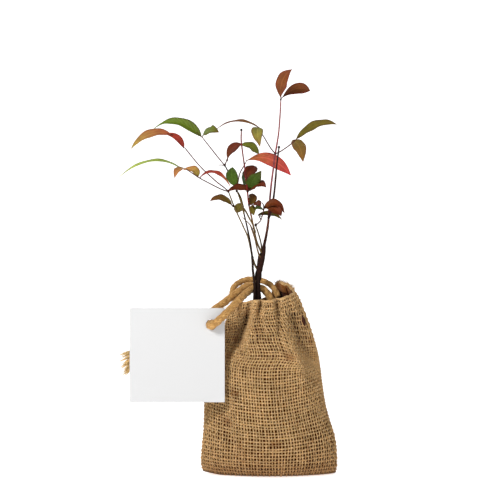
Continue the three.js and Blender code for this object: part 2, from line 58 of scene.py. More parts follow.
# ---- bag, root ball and rope, after the solids ----
BAG_NECK = 131.0
BAG_FORM = np.array([
    # height, reach left, reach right, half depth
    (0, 49.2, 48.9, 15), (4, 50.5, 50.2, 21.5), (12, 51, 50.4, 26.8), (22, 50.3, 49.8, 29),
    (31, 49.4, 48, 29.5), (41, 48.8, 44.8, 29.4), (53, 48.4, 41.7, 28.8), (67, 46.8, 39.5, 27.4),
    (81, 43.6, 37.7, 25.2), (95, 38.6, 34.9, 22.4), (107, 35.2, 30.9, 20.4), (116, 33.2, 26.8, 18.8),
    (122, 31.4, 23.9, 17.8), (127, 29, 21.6, 17.2), (BAG_NECK, 27, 19, 16.8),
])
RIM = np.array([
    # the mouth's height at even turns, from the right round by the back
    136.7, 138.6, 141.6, 143.2, 131.5, 129, 128, 126, 125, 127.2, 129.8, 131.5, 131.5, 132.5, 134.5, 135.8,
])
RIM_FADE = 36.0  # the mouth's slope dies out this far below it
GATHER_FOOT = 84.0  # the cloth is drawn together from here to the mouth
FLUTES = [(9, 1, 0.065), (14, 2.4, 0.05)]  # how many round the neck, their shift and their depth
SEAM_PINCH = 0.32  # how much flatter the oval is at its side seams, as a share
CORNER_LIFT = 1.3  # the base's left corner stands this far off the ground
WEFT_SAG = 7.0  # how far the weft runs higher at the sides than in front
WEFT_DIP = 6.0  # how far it falls again at the upper right
SOIL_TOP = 112.0
SOIL_INSET = 1.3
CRUMB_SIZES = (0.5, 1.7)
ROPE_D = 5.8
ROPE_PITCH = 17.0  # one turn of the strands
LOOP_D = 4.6
LOOP_PITCH = 14.0
STRAND_RIDGE = 0.025  # height of a strand's own yarns, as a share of its radius
FRAY_WAY = (-1.0, 0, -0.6)  # where the opened end points
FRAY_FOOT = (2, 0, 3)  # from the rope's last station to the middle of the fan's foot
ROPE_TAIL_LONG = [
    (-8.4, 10.2, 124), (-8.6, 11.4, 131), (-9.8, 12.2, 137), (-13, 11.3, 141), (-17, 8.1, 141),
    (-21.4, 3.4, 138.6), (-27, -2, 134.8), (-35.6, -8.6, 128.6), (-45, -12.8, 122.4), (-60, -15.4, 113),
    (-80, -16.8, 100.7), (-96, -17.2, 90.6), (-103.6, -17.2, 85.6),
]
ROPE_TAIL_SHORT = [
    (12, 2, 119), (7.6, 3.4, 123), (2.6, 4.8, 129), (-0.6, 6, 134.2), (-3.6, 6.4, 138), (-7.4, 6, 139.8),
    (-12.2, 4, 139.4), (-16.6, -1.9, 137.1), (-20.8, -8.8, 133.8), (-25.6, -15.4, 129.4),
    (-32.6, -23.4, 122.8), (-37.6, -25.8, 118.2), (-41.4, -25.2, 115.2), (-43.2, -21.4, 114.2),
    (-43.4, -16.4, 114), (-43.4, -12.4, 114),
]
ROPE_LOOP = [
    (6.6, 8.2, 133), (4.2, 10, 138), (0.4, 13, 142), (-5.2, 15.4, 144.6), (-11.5, 16.8, 145.6),
    (-18, 15, 145.2), (-23.6, 11, 143), (-27.2, 6.9, 139.6), (-27.8, 5.3, 135), (-24.4, 4.4, 129),
]
TAG_CENTRE = (-68.6, 91.8)
TAG_HOLE = (-43.4, 114.2)
TAG_SIZE = (70.5, 69.5)
TAG_THICK = 0.7
TAG_HOLE_D = 8.0
TAG_TOP_Y = -18.4
TAG_FOOT_Y = -24.6
TAG_BOW = 0.5
TAG_WHITE = (0.762, 0.762, 0.763)

# ---- the weave ----
WARPS = 104
WEFTS = 54
WARP_WIDE = 0.5  # half width of a flattened yarn
WEFT_WIDE = 0.52
THREAD_THICK = 0.48  # half thickness
WEAVE_LIFT = 0.56  # how far a yarn rises and dips at each crossing
SPARE_CLOTH = 0.3  # how much closer the warps stand behind and in the folds than in front, as a share
WARP_SWAY = 0.16  # how far a yarn strays sideways
WEFT_SWAY = 0.2
FIBRE = 0.05  # radius of a loose fibre
HEM_INSETS = (2.3, 2.9)  # how far behind the cloth the two sides of the turned-in hem lie
ROLL_RADIUS = 0.9  # of the mouth's rolled edge
ROLL_SPARE = 0.7  # how much fatter it is behind at the right

SLIT_TURN = -0.5  # where a drawstring leaves the casing, at the right
SLIT_HEIGHT = 114.0
SLIT_WIDE = 0.13  # half width, as a turn
SLIT_LEAN = 0.04  # how far its top leans to the back, as a turn
SLIT_TALL = 3.8  # half height

# ---- light and floor, in metres and watts ----
WORLD_LIGHT = 0.24
LAMPS = {
    # place, width and power
    "key_light": ((-0.6, -0.85, 0.9), 0.3, 14.9),
    "fill_light": ((0.9, -0.9, 0.4), 0.8, 2.1),
}
FLOOR_GLOW = 0.72
FLOOR_REACH = 3.0
FLOOR = [(-3.0, -0.0006), (1.2, -0.0006), (2.0, 0.12), (2.4, 0.6), (2.5, 3.0)]  # depth and height


# ---------------------------------------------------------------- shapes
def place(points):
    """Front elevation to space: across spreads from EYE_X by depth over EYE, height drops by depth
    times the tangent of the eye's tilt."""
    p = np.array(points, float, ndmin=2)
    p[:, 0] = EYE_X + (p[:, 0] - EYE_X) * (1 + p[:, 1] / EYE)
    p[:, 2] -= p[:, 1] * math.tan(EYE_TILT)
    return p


def unit(v):
    """Each vector over its length."""
    return v / np.maximum(np.linalg.norm(v, axis=-1, keepdims=True), 1e-12)


def smooth_path(points, stations):
    """A centripetal Catmull-Rom curve through the points, read at even steps of its length."""
    p = np.asarray(points, float)
    p = np.vstack([2 * p[0] - p[1], p, 2 * p[-1] - p[-2]])
    gap = np.sqrt(np.linalg.norm(np.diff(p, axis=0), axis=1))[:, None]
    p0, p1, p2, p3 = p[:-3], p[1:-2], p[2:-1], p[3:]
    d0, d1, d2 = gap[:-2], gap[1:-1], gap[2:]
    t1 = ((p1 - p0) / d0 - (p2 - p0) / (d0 + d1) + (p2 - p1) / d1) * d1
    t2 = ((p2 - p1) / d1 - (p3 - p1) / (d1 + d2) + (p3 - p2) / d2) * d1
    u = np.linspace(0, 1, 40, endpoint=False)[None, :, None]
    a, b, c, d = (q[:, None] for q in (p1, t1, 3 * (p2 - p1) - 2 * t1 - t2, 2 * (p1 - p2) + t1 + t2))
    line = np.vstack([(a + b * u + c * u**2 + d * u**3).reshape(-1, p.shape[1]), p[-2]])
    return even_steps(line, stations)


def even_steps(line, stations):
    """The line read again at equal steps of its length."""
    run = np.concatenate([[0], np.cumsum(np.linalg.norm(np.diff(line, axis=0), axis=1))])
    at = np.linspace(0, run[-1], stations)
    return np.stack([np.interp(at, run, column) for column in line.T], axis=1)


def length_of(line):
    """The sum of a line's steps."""
    return float(np.linalg.norm(np.diff(line, axis=0), axis=1).sum())


def frames_along(path):
    """Tangent, normal and binormal at each station; the normal is carried along without twist."""
    tangent = unit(np.gradient(path, axis=0))
    normal = np.empty_like(path)
    n = np.cross(tangent[0], (0.3, 1.0, 0.2))
    for i, t in enumerate(tangent):
        n = n - t * n.dot(t)
        n /= np.linalg.norm(n)
        normal[i] = n
    return tangent, normal, np.cross(tangent, normal)


def ring_of(sides, first, second):
    """Round each station: cosine of the turn times the first direction plus sine times the second."""
    turn = np.arange(sides) / sides * TAU
    return np.cos(turn)[:, None] * first[..., None, :] + np.sin(turn)[:, None] * second[..., None, :]


def sleeve(path, radii, sides, relief=0.0):
    """Rings round a path in the plane of its normal and binormal: radius times one plus the relief."""
    _, n, b = frames_along(path)
    r = (np.broadcast_to(radii, len(path))[:, None] * (1 + relief))[..., None]
    return path[:, None] + r * ring_of(sides, n, b)


def ball(lift, swell, tall):
    """Rings of a ball at each share of its height: the root of 1 minus the share squared, times the
    swell; the axis is stretched by tall."""
    sides = swell.shape[1]
    turn = np.arange(sides) / sides * TAU
    r = np.sqrt(1 - lift**2)[:, None] * swell
    return np.stack([r * np.cos(turn), r * np.sin(turn), np.repeat(lift[:, None] * tall, sides, 1)], -1)


def skin(rings, closed=False, uv_scale=(1.0, 1.0), uv_shift=0.0):
    """Quads between neighbouring rings, with a fan at each end, or a last row back to the first ring.
    U runs round and V along, each over its scale."""
    count, sides = rings.shape[:2]
    points = rings.reshape(-1, 3)
    rows = count if closed else count - 1
    i, j = np.meshgrid(np.arange(rows), np.arange(sides), indexing="ij")
    up, over = (i + 1) % count, (j + 1) % sides
    quads = np.stack([i * sides + j, i * sides + over, up * sides + over, up * sides + j], -1).reshape(-1, 4)
    u0, u1 = j / sides * uv_scale[0], (j + 1) / sides * uv_scale[0]
    v0, v1 = i / rows * uv_scale[1] + uv_shift, (i + 1) / rows * uv_scale[1] + uv_shift
    corners = ((u0, v0), (u1, v0), (u1, v1), (u0, v1))
    quad_uv = np.stack([np.stack(corner, -1) for corner in corners], 2).reshape(-1, 4, 2)
    if closed:
        return points, quads, np.empty((0, 3), int), quad_uv, np.empty((0, 3, 2))
    ends = np.stack([rings[0].mean(0), rings[-1].mean(0)])
    k = np.arange(sides)
    last = (count - 1) * sides
    low = np.stack([np.full(sides, len(points)), (k + 1) % sides, k], -1)
    high = np.stack([np.full(sides, len(points) + 1), last + k, last + (k + 1) % sides], -1)
    tri_uv = np.zeros((2 * sides, 3, 2))
    tri_uv[..., 0] = 0.5 * uv_scale[0]
    tri_uv[:sides, :, 1] = uv_shift
    tri_uv[sides:, :, 1] = uv_shift + uv_scale[1]
    return np.vstack([points, ends]), quads, np.vstack([low, high]), quad_uv, tri_uv


def stand(name, data):
    """An object of the data, put into the scene."""
    obj = bpy.data.objects.new(name, data)
    bpy.context.scene.collection.objects.link(obj)
    return obj


def piece(name, skins, materials, nodes=(), shades=None, smooth=True):
    """One mesh of many skins, in metres, riding the root and standing for the named nodes."""
    start, points, loops, totals, uvs, marks = 0, [], [], [], [], []
    for number, (p, quads, tris, quad_uv, tri_uv) in enumerate(skins):
        points.append(p)
        loops += [(quads + start).ravel(), (tris + start).ravel()]
        totals += [np.full(len(quads), 4), np.full(len(tris), 3)]
        uvs += [quad_uv.reshape(-1, 2), tri_uv.reshape(-1, 2)]
        marks.append(np.full(len(quads) + len(tris), 0 if shades is None else shades[number]))
        start += len(p)
    points, loops, totals = np.concatenate(points) * MM, np.concatenate(loops), np.concatenate(totals)
    mesh = bpy.data.meshes.new(name)
    mesh.vertices.add(len(points))
    mesh.vertices.foreach_set("co", points.ravel())
    mesh.loops.add(len(loops))
    mesh.loops.foreach_set("vertex_index", loops.astype(np.int32))
    mesh.polygons.add(len(totals))
    mesh.polygons.foreach_set("loop_start", (np.cumsum(totals) - totals).astype(np.int32))
    mesh.polygons.foreach_set("material_index", np.concatenate(marks).astype(np.int32))
    mesh.polygons.foreach_set("use_smooth", np.full(len(totals), smooth))
    layer = mesh.uv_layers.new(name="Surface")
    layer.data.foreach_set("uv", np.concatenate(uvs).ravel())
    mesh.update(calc_edges=True)
    for material in materials:
        mesh.materials.append(material)
    obj = stand(name, mesh)
    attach(obj, "root")
    if nodes:
        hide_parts(*nodes)
    return obj


# ---------------------------------------------------------------- finishes
def linear(rgb):
    """sRGB shares to linear light."""
    c = np.asarray(rgb, float)
    return (*np.where(c <= 0.04045, c / 12.92, ((c + 0.055) / 1.055) ** 2.4), 1.0)


class Finish:
    """A Principled material and short calls for the nodes that feed it."""

    def __init__(self, name, roughness, specular=0.3, sheen=0.0):
        self.material = bpy.data.materials.new(name)
        self.material.use_nodes = True
        self.nodes = self.material.node_tree.nodes
        self.links = self.material.node_tree.links
        self.shader = self.nodes["Principled BSDF"]
        self.shader.inputs["Roughness"].default_value = roughness
        self.shader.inputs["Specular IOR Level"].default_value = specular
        self.shader.inputs["Sheen Weight"].default_value = sheen

    def node(self, kind, **inputs):
        """A new node with its inputs set or linked by name."""
        made = self.nodes.new(kind)
        for key, value in inputs.items():
            self.feed(made.inputs[key.replace("_", " ")], value)
        return made

    def feed(self, socket, value):
        """Link a socket to another node's output, or set its value."""
        if isinstance(value, bpy.types.NodeSocket):
            self.links.new(value, socket)
        else:
            socket.default_value = value

    def coords(self, kind="Object", scale=(1.0, 1.0, 1.0)):
        """Object or UV coordinates times a scale on each axis."""
        source = self.nodes.new("ShaderNodeTexCoord").outputs[kind]
        mapping = self.nodes.new("ShaderNodeMapping")
        mapping.inputs["Scale"].default_value = scale
        self.links.new(source, mapping.inputs["Vector"])
        return mapping.outputs["Vector"]

    def noise(self, vector, scale, detail=3.0, roughness=0.55):
        """The grey output of a noise."""
        made = self.node("ShaderNodeTexNoise", Vector=vector, Scale=scale, Detail=detail, Roughness=roughness)
        return made.outputs["Fac"]

    def ramp(self, value, stops):
        """Colours blended between stops of a place and an sRGB tint, or a level of grey."""
        made = self.nodes.new("ShaderNodeValToRGB")
        self.links.new(value, made.inputs["Fac"])
        band = made.color_ramp.elements
        while len(band) < len(stops):
            band.new(0.5)
        for element, (at, colour) in zip(band, stops):
            element.position = at
            element.color = linear(colour) if np.ndim(colour) else (colour, colour, colour, 1.0)
        return made.outputs["Color"]

    def mix(self, share, first, second, blend="MIX"):
        """Two colours mixed or multiplied by a share."""
        made = self.nodes.new("ShaderNodeMix")
        made.data_type = "RGBA"
        made.blend_type = blend
        self.feed(made.inputs[0], share)
        self.feed(made.inputs[6], first)
        self.feed(made.inputs[7], second)
        return made.outputs[2]

    def maths(self, operation, first, second=0.0):
        """One sum on two values."""
        made = self.nodes.new("ShaderNodeMath")
        made.operation = operation
        self.feed(made.inputs[0], first)
        self.feed(made.inputs[1], second)
        return made.outputs[0]

    def bump(self, height, strength, distance):
        """Relief of the surface's light from a height."""
        made = self.node("ShaderNodeBump", Height=height, Strength=strength, Distance=distance)
        self.links.new(made.outputs["Normal"], self.shader.inputs["Normal"])

    def colour(self, value):
        """Set the base colour and hand back the finished material."""
        self.feed(self.shader.inputs["Base Color"], value)
        return self.material


def jute_finish(name, light, middle, dark, grain, stain=0.0):
    """Fibrous yarn: streaks along its own length, paler and darker stretches, slow changes of tone over the
    object, and where stain is above 0, brown stains and a browner lowest 30 mm. Grain is the streaks' scale
    round and along."""
    f = Finish(name, 0.95, specular=0.08, sheen=0.08)
    streaks = f.noise(f.coords("UV", (*grain, 1.0)), 4.0, detail=4.0, roughness=0.6)
    yarn = f.ramp(streaks, [(0.36, dark), (0.5, middle), (0.64, light)])
    everywhere = f.coords()
    tone = f.ramp(f.noise(everywhere, 38.0), [(0.3, 0.8), (0.7, 1.0)])
    patch = f.ramp(f.noise(everywhere, 330.0, detail=2.0), [(0.34, 0.72), (0.62, 1.0)])
    coloured = f.mix(1.0, f.mix(1.0, yarn, tone, "MULTIPLY"), patch, "MULTIPLY")
    if stain:
        # browner towards the bottom: full at the floor, a third at 12 mm, gone at 30 mm
        low = f.node("ShaderNodeSeparateXYZ", Vector=everywhere).outputs["Z"]
        brown = f.ramp(low, [(0.0, stain), (0.012, stain * 0.3), (0.03, 0.0)])
        spots = f.ramp(f.noise(everywhere, 60.0, detail=4.0), [(0.58, 0.0), (0.70, stain)])
        coloured = f.mix(f.maths("MAXIMUM", brown, spots), coloured, linear((0.50, 0.29, 0.14)))
    fine = f.noise(f.coords("UV", (grain[0] * 3, grain[1] * 3, 1.0)), 6.0, detail=2.0)
    f.bump(fine, 0.7, 0.0004)
    return f.colour(coloured)


def soil_finish():
    """Dark damp crumbs with paler bits of fibre."""
    f = Finish("potting_soil", 0.9, specular=0.03)
    grain = f.noise(f.coords(), 420.0, detail=4.0, roughness=0.7)
    f.bump(grain, 0.8, 0.0008)
    tints = [(0.35, (0.17, 0.06, 0.003)), (0.62, (0.25, 0.10, 0.01)), (0.8, (0.33, 0.17, 0.04))]
    return f.colour(f.ramp(grain, tints))


def bark_finish(name, dark, light, roughness, upper=None):
    """Bark or stalk skin: long streaks up the limb with small dark flecks; upper gives the two
    tints higher up, and the heights where they begin and are full."""
    f = Finish(name, roughness, specular=0.15)
    streaks = f.noise(f.coords("UV", (5.0, 1.6, 1.0)), 4.0, detail=5.0, roughness=0.6)
    flecks = f.noise(f.coords("Object", (1.0, 1.0, 0.35)), 900.0, detail=2.0)
    base = f.ramp(streaks, [(0.3, dark), (0.7, light)])
    if upper:
        height = f.node("ShaderNodeSeparateXYZ", Vector=f.coords()).outputs["Z"]
        upper_dark, upper_light, begins, full = upper
        share = f.ramp(height, [(begins * MM, 0.0), (full * MM, 1.0)])
        base = f.mix(share, base, f.ramp(streaks, [(0.3, upper_dark), (0.7, upper_light)]))
    dotted = f.ramp(flecks, [(0.36, 0.55), (0.5, 1.0)])
    f.bump(streaks, 0.5, 0.0004)
    return f.colour(f.mix(0.8, base, dotted, "MULTIPLY"))


def leaf_finish(name, foot, middle, tip, edge):
    """A leaf's own tints from foot to tip, its edge and its paler midrib, with side veins in relief."""
    f = Finish(name, 0.55, specular=0.14)
    place_on = f.node("ShaderNodeSeparateXYZ", Vector=f.coords("UV"))
    along = place_on.outputs["Y"]
    turn = f.maths("MULTIPLY", place_on.outputs["X"], 2.0)
    across = f.maths("ABSOLUTE", f.maths("SUBTRACT", f.maths("PINGPONG", turn, 1.0), 0.5))
    out = f.maths("MULTIPLY", across, 2.0)
    body = f.ramp(along, [(0.04, foot), (0.45, middle), (0.95, tip)])
    rimmed = f.mix(f.ramp(out, [(0.62, 0.0), (1.0, 0.8)]), body, linear(edge))
    mottle = f.noise(f.coords(), 210.0)
    varied = f.mix(1.0, rimmed, f.ramp(mottle, [(0.3, 0.78), (0.7, 1.08)]), "MULTIPLY")
    rib = f.ramp(out, [(0.03, 0.3), (0.10, 0.0)])
    ribbed = f.mix(rib, varied, linear(np.minimum(np.array(middle) * 1.25 + 0.05, 1.0)))
    veins = f.maths("SINE", f.maths("ADD", f.maths("MULTIPLY", along, 95.0), f.maths("MULTIPLY", out, -13.0)))
    f.bump(veins, 0.35, 0.00025)
    return f.colour(ribbed)


# ---------------------------------------------------------------- the bag's cloth
FOLDS = [
    # foot across, foot height, top across, top height, reach to the left, to the right, depth inwards
    (-22, 97, -14.6, 128, 3.4, 2.6, 5),
    (-27, 94, -16.5, 117, 9, 4.2, 10.8),
    (-14.6, 88, -10.8, 128, 3.4, 3, -3.4),
    (-8.6, 118, -6.4, 134, 2, 2.2, 5.4),
    (-2, 108, -2.4, 134, 2.6, 2.6, -2),
    (7, 108, 4.6, 134, 2, 2.6, 4.2),
    (12, 116, 10, 134, 2.6, 2.6, -1.8),
    (25, 80, 9, 110, 3.6, 3.6, -4),
    (33, 85, 19, 112, 4.6, 4.6, 9),
    (-38, 60, -31, 108, 4, 4, 1.6),
    (13, 30, 6, 92, 7, 7, 1.2),
    (-12, 26, -16, 84, 6, 6, 1),
    (-24, 14, -36, 50, 5, 6, 1.8),
    (32, 18, 20, 58, 6, 6, 1.8),
]
FORM = smooth_path(BAG_FORM, 300)


def smoothstep(x, low, high):
    """0 below low, 1 above high, and an even S between."""
    t = np.clip((x - low) / (high - low), 0, 1)
    return t * t * (3 - 2 * t)


def hump(x, low, full, fading, gone):
    """0 outside low and gone, 1 between full and fading, and an even S on either side."""
    return smoothstep(x, low, full) * (1 - smoothstep(x, fading, gone))


def wander(rows, count, span, loop=False):
    """Seeded heights every span steps along each row, joined by an even S; loop joins the ends."""
    spans = count // span
    knots = rng.standard_normal((rows, spans + 2))
    at = np.arange(count) / span
    low = at.astype(int)
    share = smoothstep(at - low, 0, 1)
    high = low + 1
    if loop:
        low, high = low % spans, high % spans
    return knots[:, low] * (1 - share) + knots[:, high] * share


def rim_height(turn):
    """The mouth's height, eased between the heights of RIM, which stand evenly round it."""
    at = (turn / TAU * len(RIM)) % len(RIM)
    low = np.floor(at).astype(int) % len(RIM)
    share = smoothstep(at - np.floor(at), 0, 1)
    return RIM[low] * (1 - share) + RIM[(low + 1) % len(RIM)] * share


def bag_point(turn, height, inset=0.0, folded=1.0):
    """An oval pinched towards its side seams, gathered in flutes near the mouth. Each fold is a bell
    across its line, moved back by its depth, and fades below its foot and above its top; folded is the
    share of the folds' depth that counts."""
    turn, height = np.broadcast_arrays(np.asarray(turn, float), np.asarray(height, float))
    c, s = np.cos(turn), np.sin(turn)
    drawn = smoothstep(height, GATHER_FOOT, BAG_NECK)
    flute = 1 + drawn * sum(depth * np.cos(count * turn + shift) for count, shift, depth in FLUTES)
    flute += 0.008 * np.sin(5 * turn + 0.07 * height) * smoothstep(height, 8, 50) * (1 - drawn)
    pinch = 1 - SEAM_PINCH * (1 - drawn) * c * c
    left, right, deep = (np.interp(height, FORM[:, 0], FORM[:, k]) for k in (1, 2, 3))
    x = np.where(c > 0, right, left) * c * (0.7 + 0.3 * flute)
    y = deep * s * pinch * flute
    front = smoothstep(-s, 0.0, 0.5)
    for foot_x, foot_z, top_x, top_z, to_left, to_right, depth in FOLDS:
        off = x - foot_x - (top_x - foot_x) * (height - foot_z) / (top_z - foot_z)
        fade = hump(height, foot_z - 8, foot_z + 6, top_z + 1, top_z + 14)
        y = y + folded * front * depth * fade * np.exp(-((off / np.where(off < 0, to_left, to_right)) ** 2))
    z = height + (rim_height(turn) - BAG_NECK) * smoothstep(height, BAG_NECK - RIM_FADE, BAG_NECK)
    z = z + CORNER_LIFT * smoothstep(-x, 36, 50) * (1 - smoothstep(height, 0, 16))
    reach = np.hypot(x, y)
    kept = (reach - inset) / reach
    return np.stack([x * kept, y * kept, z], -1)


def step_share(turn, height, x):
    """How much a step round the bag counts: 1 in the front's middle, and elsewhere up to SPARE_CLOTH more
    near the mouth, so that the spare cloth lies in the folds and behind."""
    left, right = (np.interp(height, (80, BAG_NECK), ends) for ends in ((-26, -15), (30, 17)))
    front = smoothstep(-np.sin(turn), 0.2, 0.6)
    middle = front * hump(x, left - 3, left + 3, right - 3, right + 3)
    return 1 + SPARE_CLOTH * smoothstep(height, 50, 120) * (1 - middle)


def cloth_grid(heights, columns, inset=0.0):
    """Rows of points round the bag at equal steps of each row's own length, as step_share counts it. A
    row climbs by WEFT_SAG times the squared cosine at the sides and dips by WEFT_DIP at the upper right."""
    turn = np.linspace(0, TAU, 721)
    tall = np.asarray(heights, float)[:, None]
    rows = bag_point(turn[None], tall, inset)
    steps = np.linalg.norm(np.diff(rows, axis=1), axis=2) * step_share(turn, tall, rows[..., 0])[:, 1:]
    run = np.concatenate([np.zeros((len(rows), 1)), np.cumsum(steps, axis=1)], axis=1)
    at = np.linspace(0, 1, columns, endpoint=False)
    turns = np.stack([np.interp(at * r[-1], r, turn) for r in run])
    side = np.cos(turns)
    sag = WEFT_SAG * side**2 * hump(tall, 0, 40, 66, 112)
    dip = WEFT_DIP * smoothstep(side, 0.1, 0.8) * hump(tall, 70, 98, 104, BAG_NECK - 4)
    return bag_point(turns, tall + (sag - dip), inset)


def outward(grid):
    """The cloth's outer side: the step round the bag crossed with the step up."""
    around = np.roll(grid, -1, axis=1) - np.roll(grid, 1, axis=1)
    return unit(np.cross(around, np.gradient(grid, axis=0)))


def yarns(paths, normals, half_wide, half_thick, sides=6, closed=False):
    """Flattened yarns: an ellipse at each station, thick along the cloth's normal, wide across the yarn."""
    if closed:
        ahead = unit(np.roll(paths, -1, axis=1) - np.roll(paths, 1, axis=1))
    else:
        ahead = unit(np.gradient(paths, axis=1))
    across = unit(np.cross(ahead, normals))
    return paths[:, :, None] + ring_of(sides, normals * half_thick[..., None], across * half_wide[..., None])


def yarn_set(path, n, aside, lift, sway, wide, spans, streak, closed=False):
    """The skins of one set of yarns: each is raised by lift along the cloth's normal n and strays by
    sway along aside, and its width and thickness vary. Spans are the steps of the straying and of the
    varying; streak is V's scale along a yarn and its shift from one yarn to the next."""
    count, stations = path.shape[:2]
    path = path + n * lift[..., None]
    path += aside * (sway * wander(count, stations, spans[0], loop=closed))[..., None]
    wide = wide * (1 + 0.2 * wander(count, stations, spans[1], loop=closed))
    thick = THREAD_THICK * (1 + 0.12 * wander(count, stations, spans[1], loop=closed))
    along, shift = streak
    rings = yarns(path, n, wide, thick, closed=closed)
    return [skin(r, closed=closed, uv_scale=(1.0, along), uv_shift=shift * k) for k, r in enumerate(rings)]


def weave():
    """Warps run up the cloth and wefts round it. Yarn i of one set and j of the other meet at lift
    times the cosine of pi (i + j), up for the warp and down for the weft."""
    heights = np.linspace(1.0, BAG_NECK, WEFTS * 2 + 1)
    grid = cloth_grid(heights, WARPS * 2)
    normal = outward(grid)
    pitch = np.linalg.norm(np.roll(grid, -2, axis=1) - np.roll(grid, 2, axis=1), axis=2)[:, ::2].T / 2
    path, n = (rows[:, ::2].transpose(1, 0, 2) for rows in (grid, normal))
    side = unit(np.cross(n, np.gradient(path, axis=1)))
    lift = WEAVE_LIFT * np.cos(np.pi * (np.arange(len(heights)) / 2 + np.arange(WARPS)[:, None]))
    wide = np.minimum(WARP_WIDE, 0.27 * pitch)
    warps = yarn_set(path, n, side, lift, WARP_SWAY, wide, (9, 6), (60.0, 3.1))
    path, n, rise = (rows[2:-2:2] for rows in (grid, normal, np.gradient(grid, axis=0)))
    lift = -WEAVE_LIFT * np.cos(np.pi * (np.arange(WARPS * 2) / 2 + np.arange(1, WEFTS)[:, None]))
    wefts = yarn_set(path, n, unit(rise), lift, WEFT_SWAY, WEFT_WIDE, (16, 8), (110.0, 2.3), closed=True)
    return warps, wefts


def behind_cloth(heights, columns, inset):
    """The cloth's rows moved in along its own normals."""
    grid = cloth_grid(heights, columns)
    return grid - outward(grid) * inset


def band(low, high, rows, outer, inner):
    """A layer of cloth between two heights: rings up its outer side and down its inner side."""
    heights = np.linspace(low, high, rows)
    up, down = (behind_cloth(heights, WARPS * 2, inset) for inset in (outer, inner))
    return skin(np.concatenate([up, down[::-1]]), closed=True, uv_scale=(90.0, 12.0))


def hem_patch(first, last, low, high):
    """The turned-in cloth inside part of the mouth: at each turn a ring up one side and down the other."""
    turn = np.linspace(first, last, 70)[:, None]
    heights = np.linspace(low, high, 9)[None]
    up, down = (bag_point(turn, heights, inset) for inset in HEM_INSETS)
    return skin(np.concatenate([up, down[:, ::-1]], axis=1), uv_scale=(12.0, 40.0))


def rim_roll():
    """The rolled edge of the mouth: a round tube along the top of the cloth, fattest behind at the right."""
    line = cloth_grid([BAG_NECK], WARPS * 2, 0.4)[0]
    ahead = unit(np.roll(line, -1, axis=0) - np.roll(line, 1, axis=0))
    up = unit(np.cross(ahead, np.cross((0, 0, 1.0), ahead)))
    turn = np.arctan2(line[:, 1], line[:, 0])
    fat = ROLL_RADIUS + ROLL_SPARE * np.exp(-(((turn - 1.0) / 0.45) ** 2))
    size = fat * (1 + 0.14 * wander(1, len(line), 8, loop=True))
    rings = yarns(line[None], up[None], size, size, sides=8, closed=True)
    return skin(rings[0], closed=True, uv_scale=(2.0, 90.0))


def base_slab():
    """The flat underside: thin rings from the cloth's edge to the middle, above and below."""
    edge = cloth_grid([1.2], 120, 0.8)[0]
    shrink = np.array([1.0, 0.98, 0.7, 0.35, 0.04])[:, None, None]
    under = edge[None] * shrink
    corner = (edge[:, 2] - 1.2) * shrink[..., 0] ** 8
    under[..., 2] = np.array([0.9, 0.35, 0.3, 0.3, 0.3])[:, None] + corner
    over = under.copy()
    over[..., 2] = 1.5 + corner
    return skin(np.concatenate([under[::-1], over]), uv_scale=(60.0, 20.0))


def soil_body():
    """The root ball: rings just behind the cloth, drawn further in below the mouth, then a rough top
    that shrinks to the middle."""
    heights = np.concatenate([[1.6], np.linspace(4, SOIL_TOP - 1, 28)])
    columns, rings = 160, 14
    slack = smoothstep(heights, 82, 98)[:, None, None]
    core = bag_point(np.arange(columns)[None] / columns * TAU, heights[:, None], folded=0.0) * (0.55, 0.55, 1)
    wall = behind_cloth(heights, columns, SOIL_INSET) * (1 - slack) + core * slack
    wall[..., 2] = np.clip(wall[..., 2], 1.6, SOIL_TOP)
    shrink = np.linspace(0.96, 0.03, rings)[:, None, None]
    top = wall[-1][None] * shrink
    rough = wander(rings, columns, 5, loop=True) * 0.7
    top[..., 2] = SOIL_TOP + rough * np.linspace(0.6, 1, rings)[:, None] + 1.2 * (1 - shrink[..., 0])
    return skin(np.concatenate([wall, top]), uv_scale=(40.0, 30.0))


def crumbs(count):
    """Small rough lumps scattered over the soil: rings of a ball, squashed and turned at random."""
    skins = []
    lift = np.array([-0.86, -0.3, 0.35, 0.88])
    for _ in range(count):
        a, share, size = rng.uniform(0, TAU), 0.56 * rng.uniform(0.05, 0.9) ** 0.6, rng.uniform(*CRUMB_SIZES)
        centre = bag_point(a, SOIL_TOP - 3, folded=0.0) * (share, share, 0) + (0, 0, SOIL_TOP + 0.9)
        lump = ball(lift, rng.uniform(0.75, 1.15, (4, 7)), 0.8)
        skins.append(skin(lump * size + centre))
    return skins


def hairs(roots, ahead, lengths, radius, curl):
    """Thin tapered fibres: from each root along ahead for its length, bent sideways by its curl times
    the square of the way along."""
    t = np.linspace(0, 1, 5)[None, :, None]
    line = roots[:, None] + ahead[:, None] * lengths[:, None, None] * t + curl[:, None] * t**2
    direction = unit(np.gradient(line, axis=1))
    side = unit(np.cross(direction, np.array((0.31, 0.62, 0.72))))
    taper = np.broadcast_to(radius, lengths.shape)[:, None] * np.array([1, 0.95, 0.85, 0.65, 0.3])
    rings = line[:, :, None] + taper[..., None, None] * ring_of(3, side, np.cross(direction, side))
    return [skin(r, uv_scale=(1.0, 4.0), uv_shift=k * 1.7) for k, r in enumerate(rings)]


def burlap_fuzz(count):
    """Loose fibres that stand a little off the cloth."""
    turn, height = rng.uniform(0, TAU, count), rng.uniform(3, BAG_NECK - 1, count)
    root = bag_point(turn, height, 0.1)
    n = unit(bag_point(turn, height, -1.0) - bag_point(turn, height, 1.0))
    ahead = unit(rng.standard_normal((count, 3)) + n * 0.5)
    ahead = unit(ahead - n * (ahead * n).sum(1, keepdims=True) * 0.85)
    lengths = rng.uniform(1.0, 3.0, count)
    return hairs(root, ahead, lengths, FIBRE, n * 0.4 + rng.standard_normal((count, 3)) * 0.4)


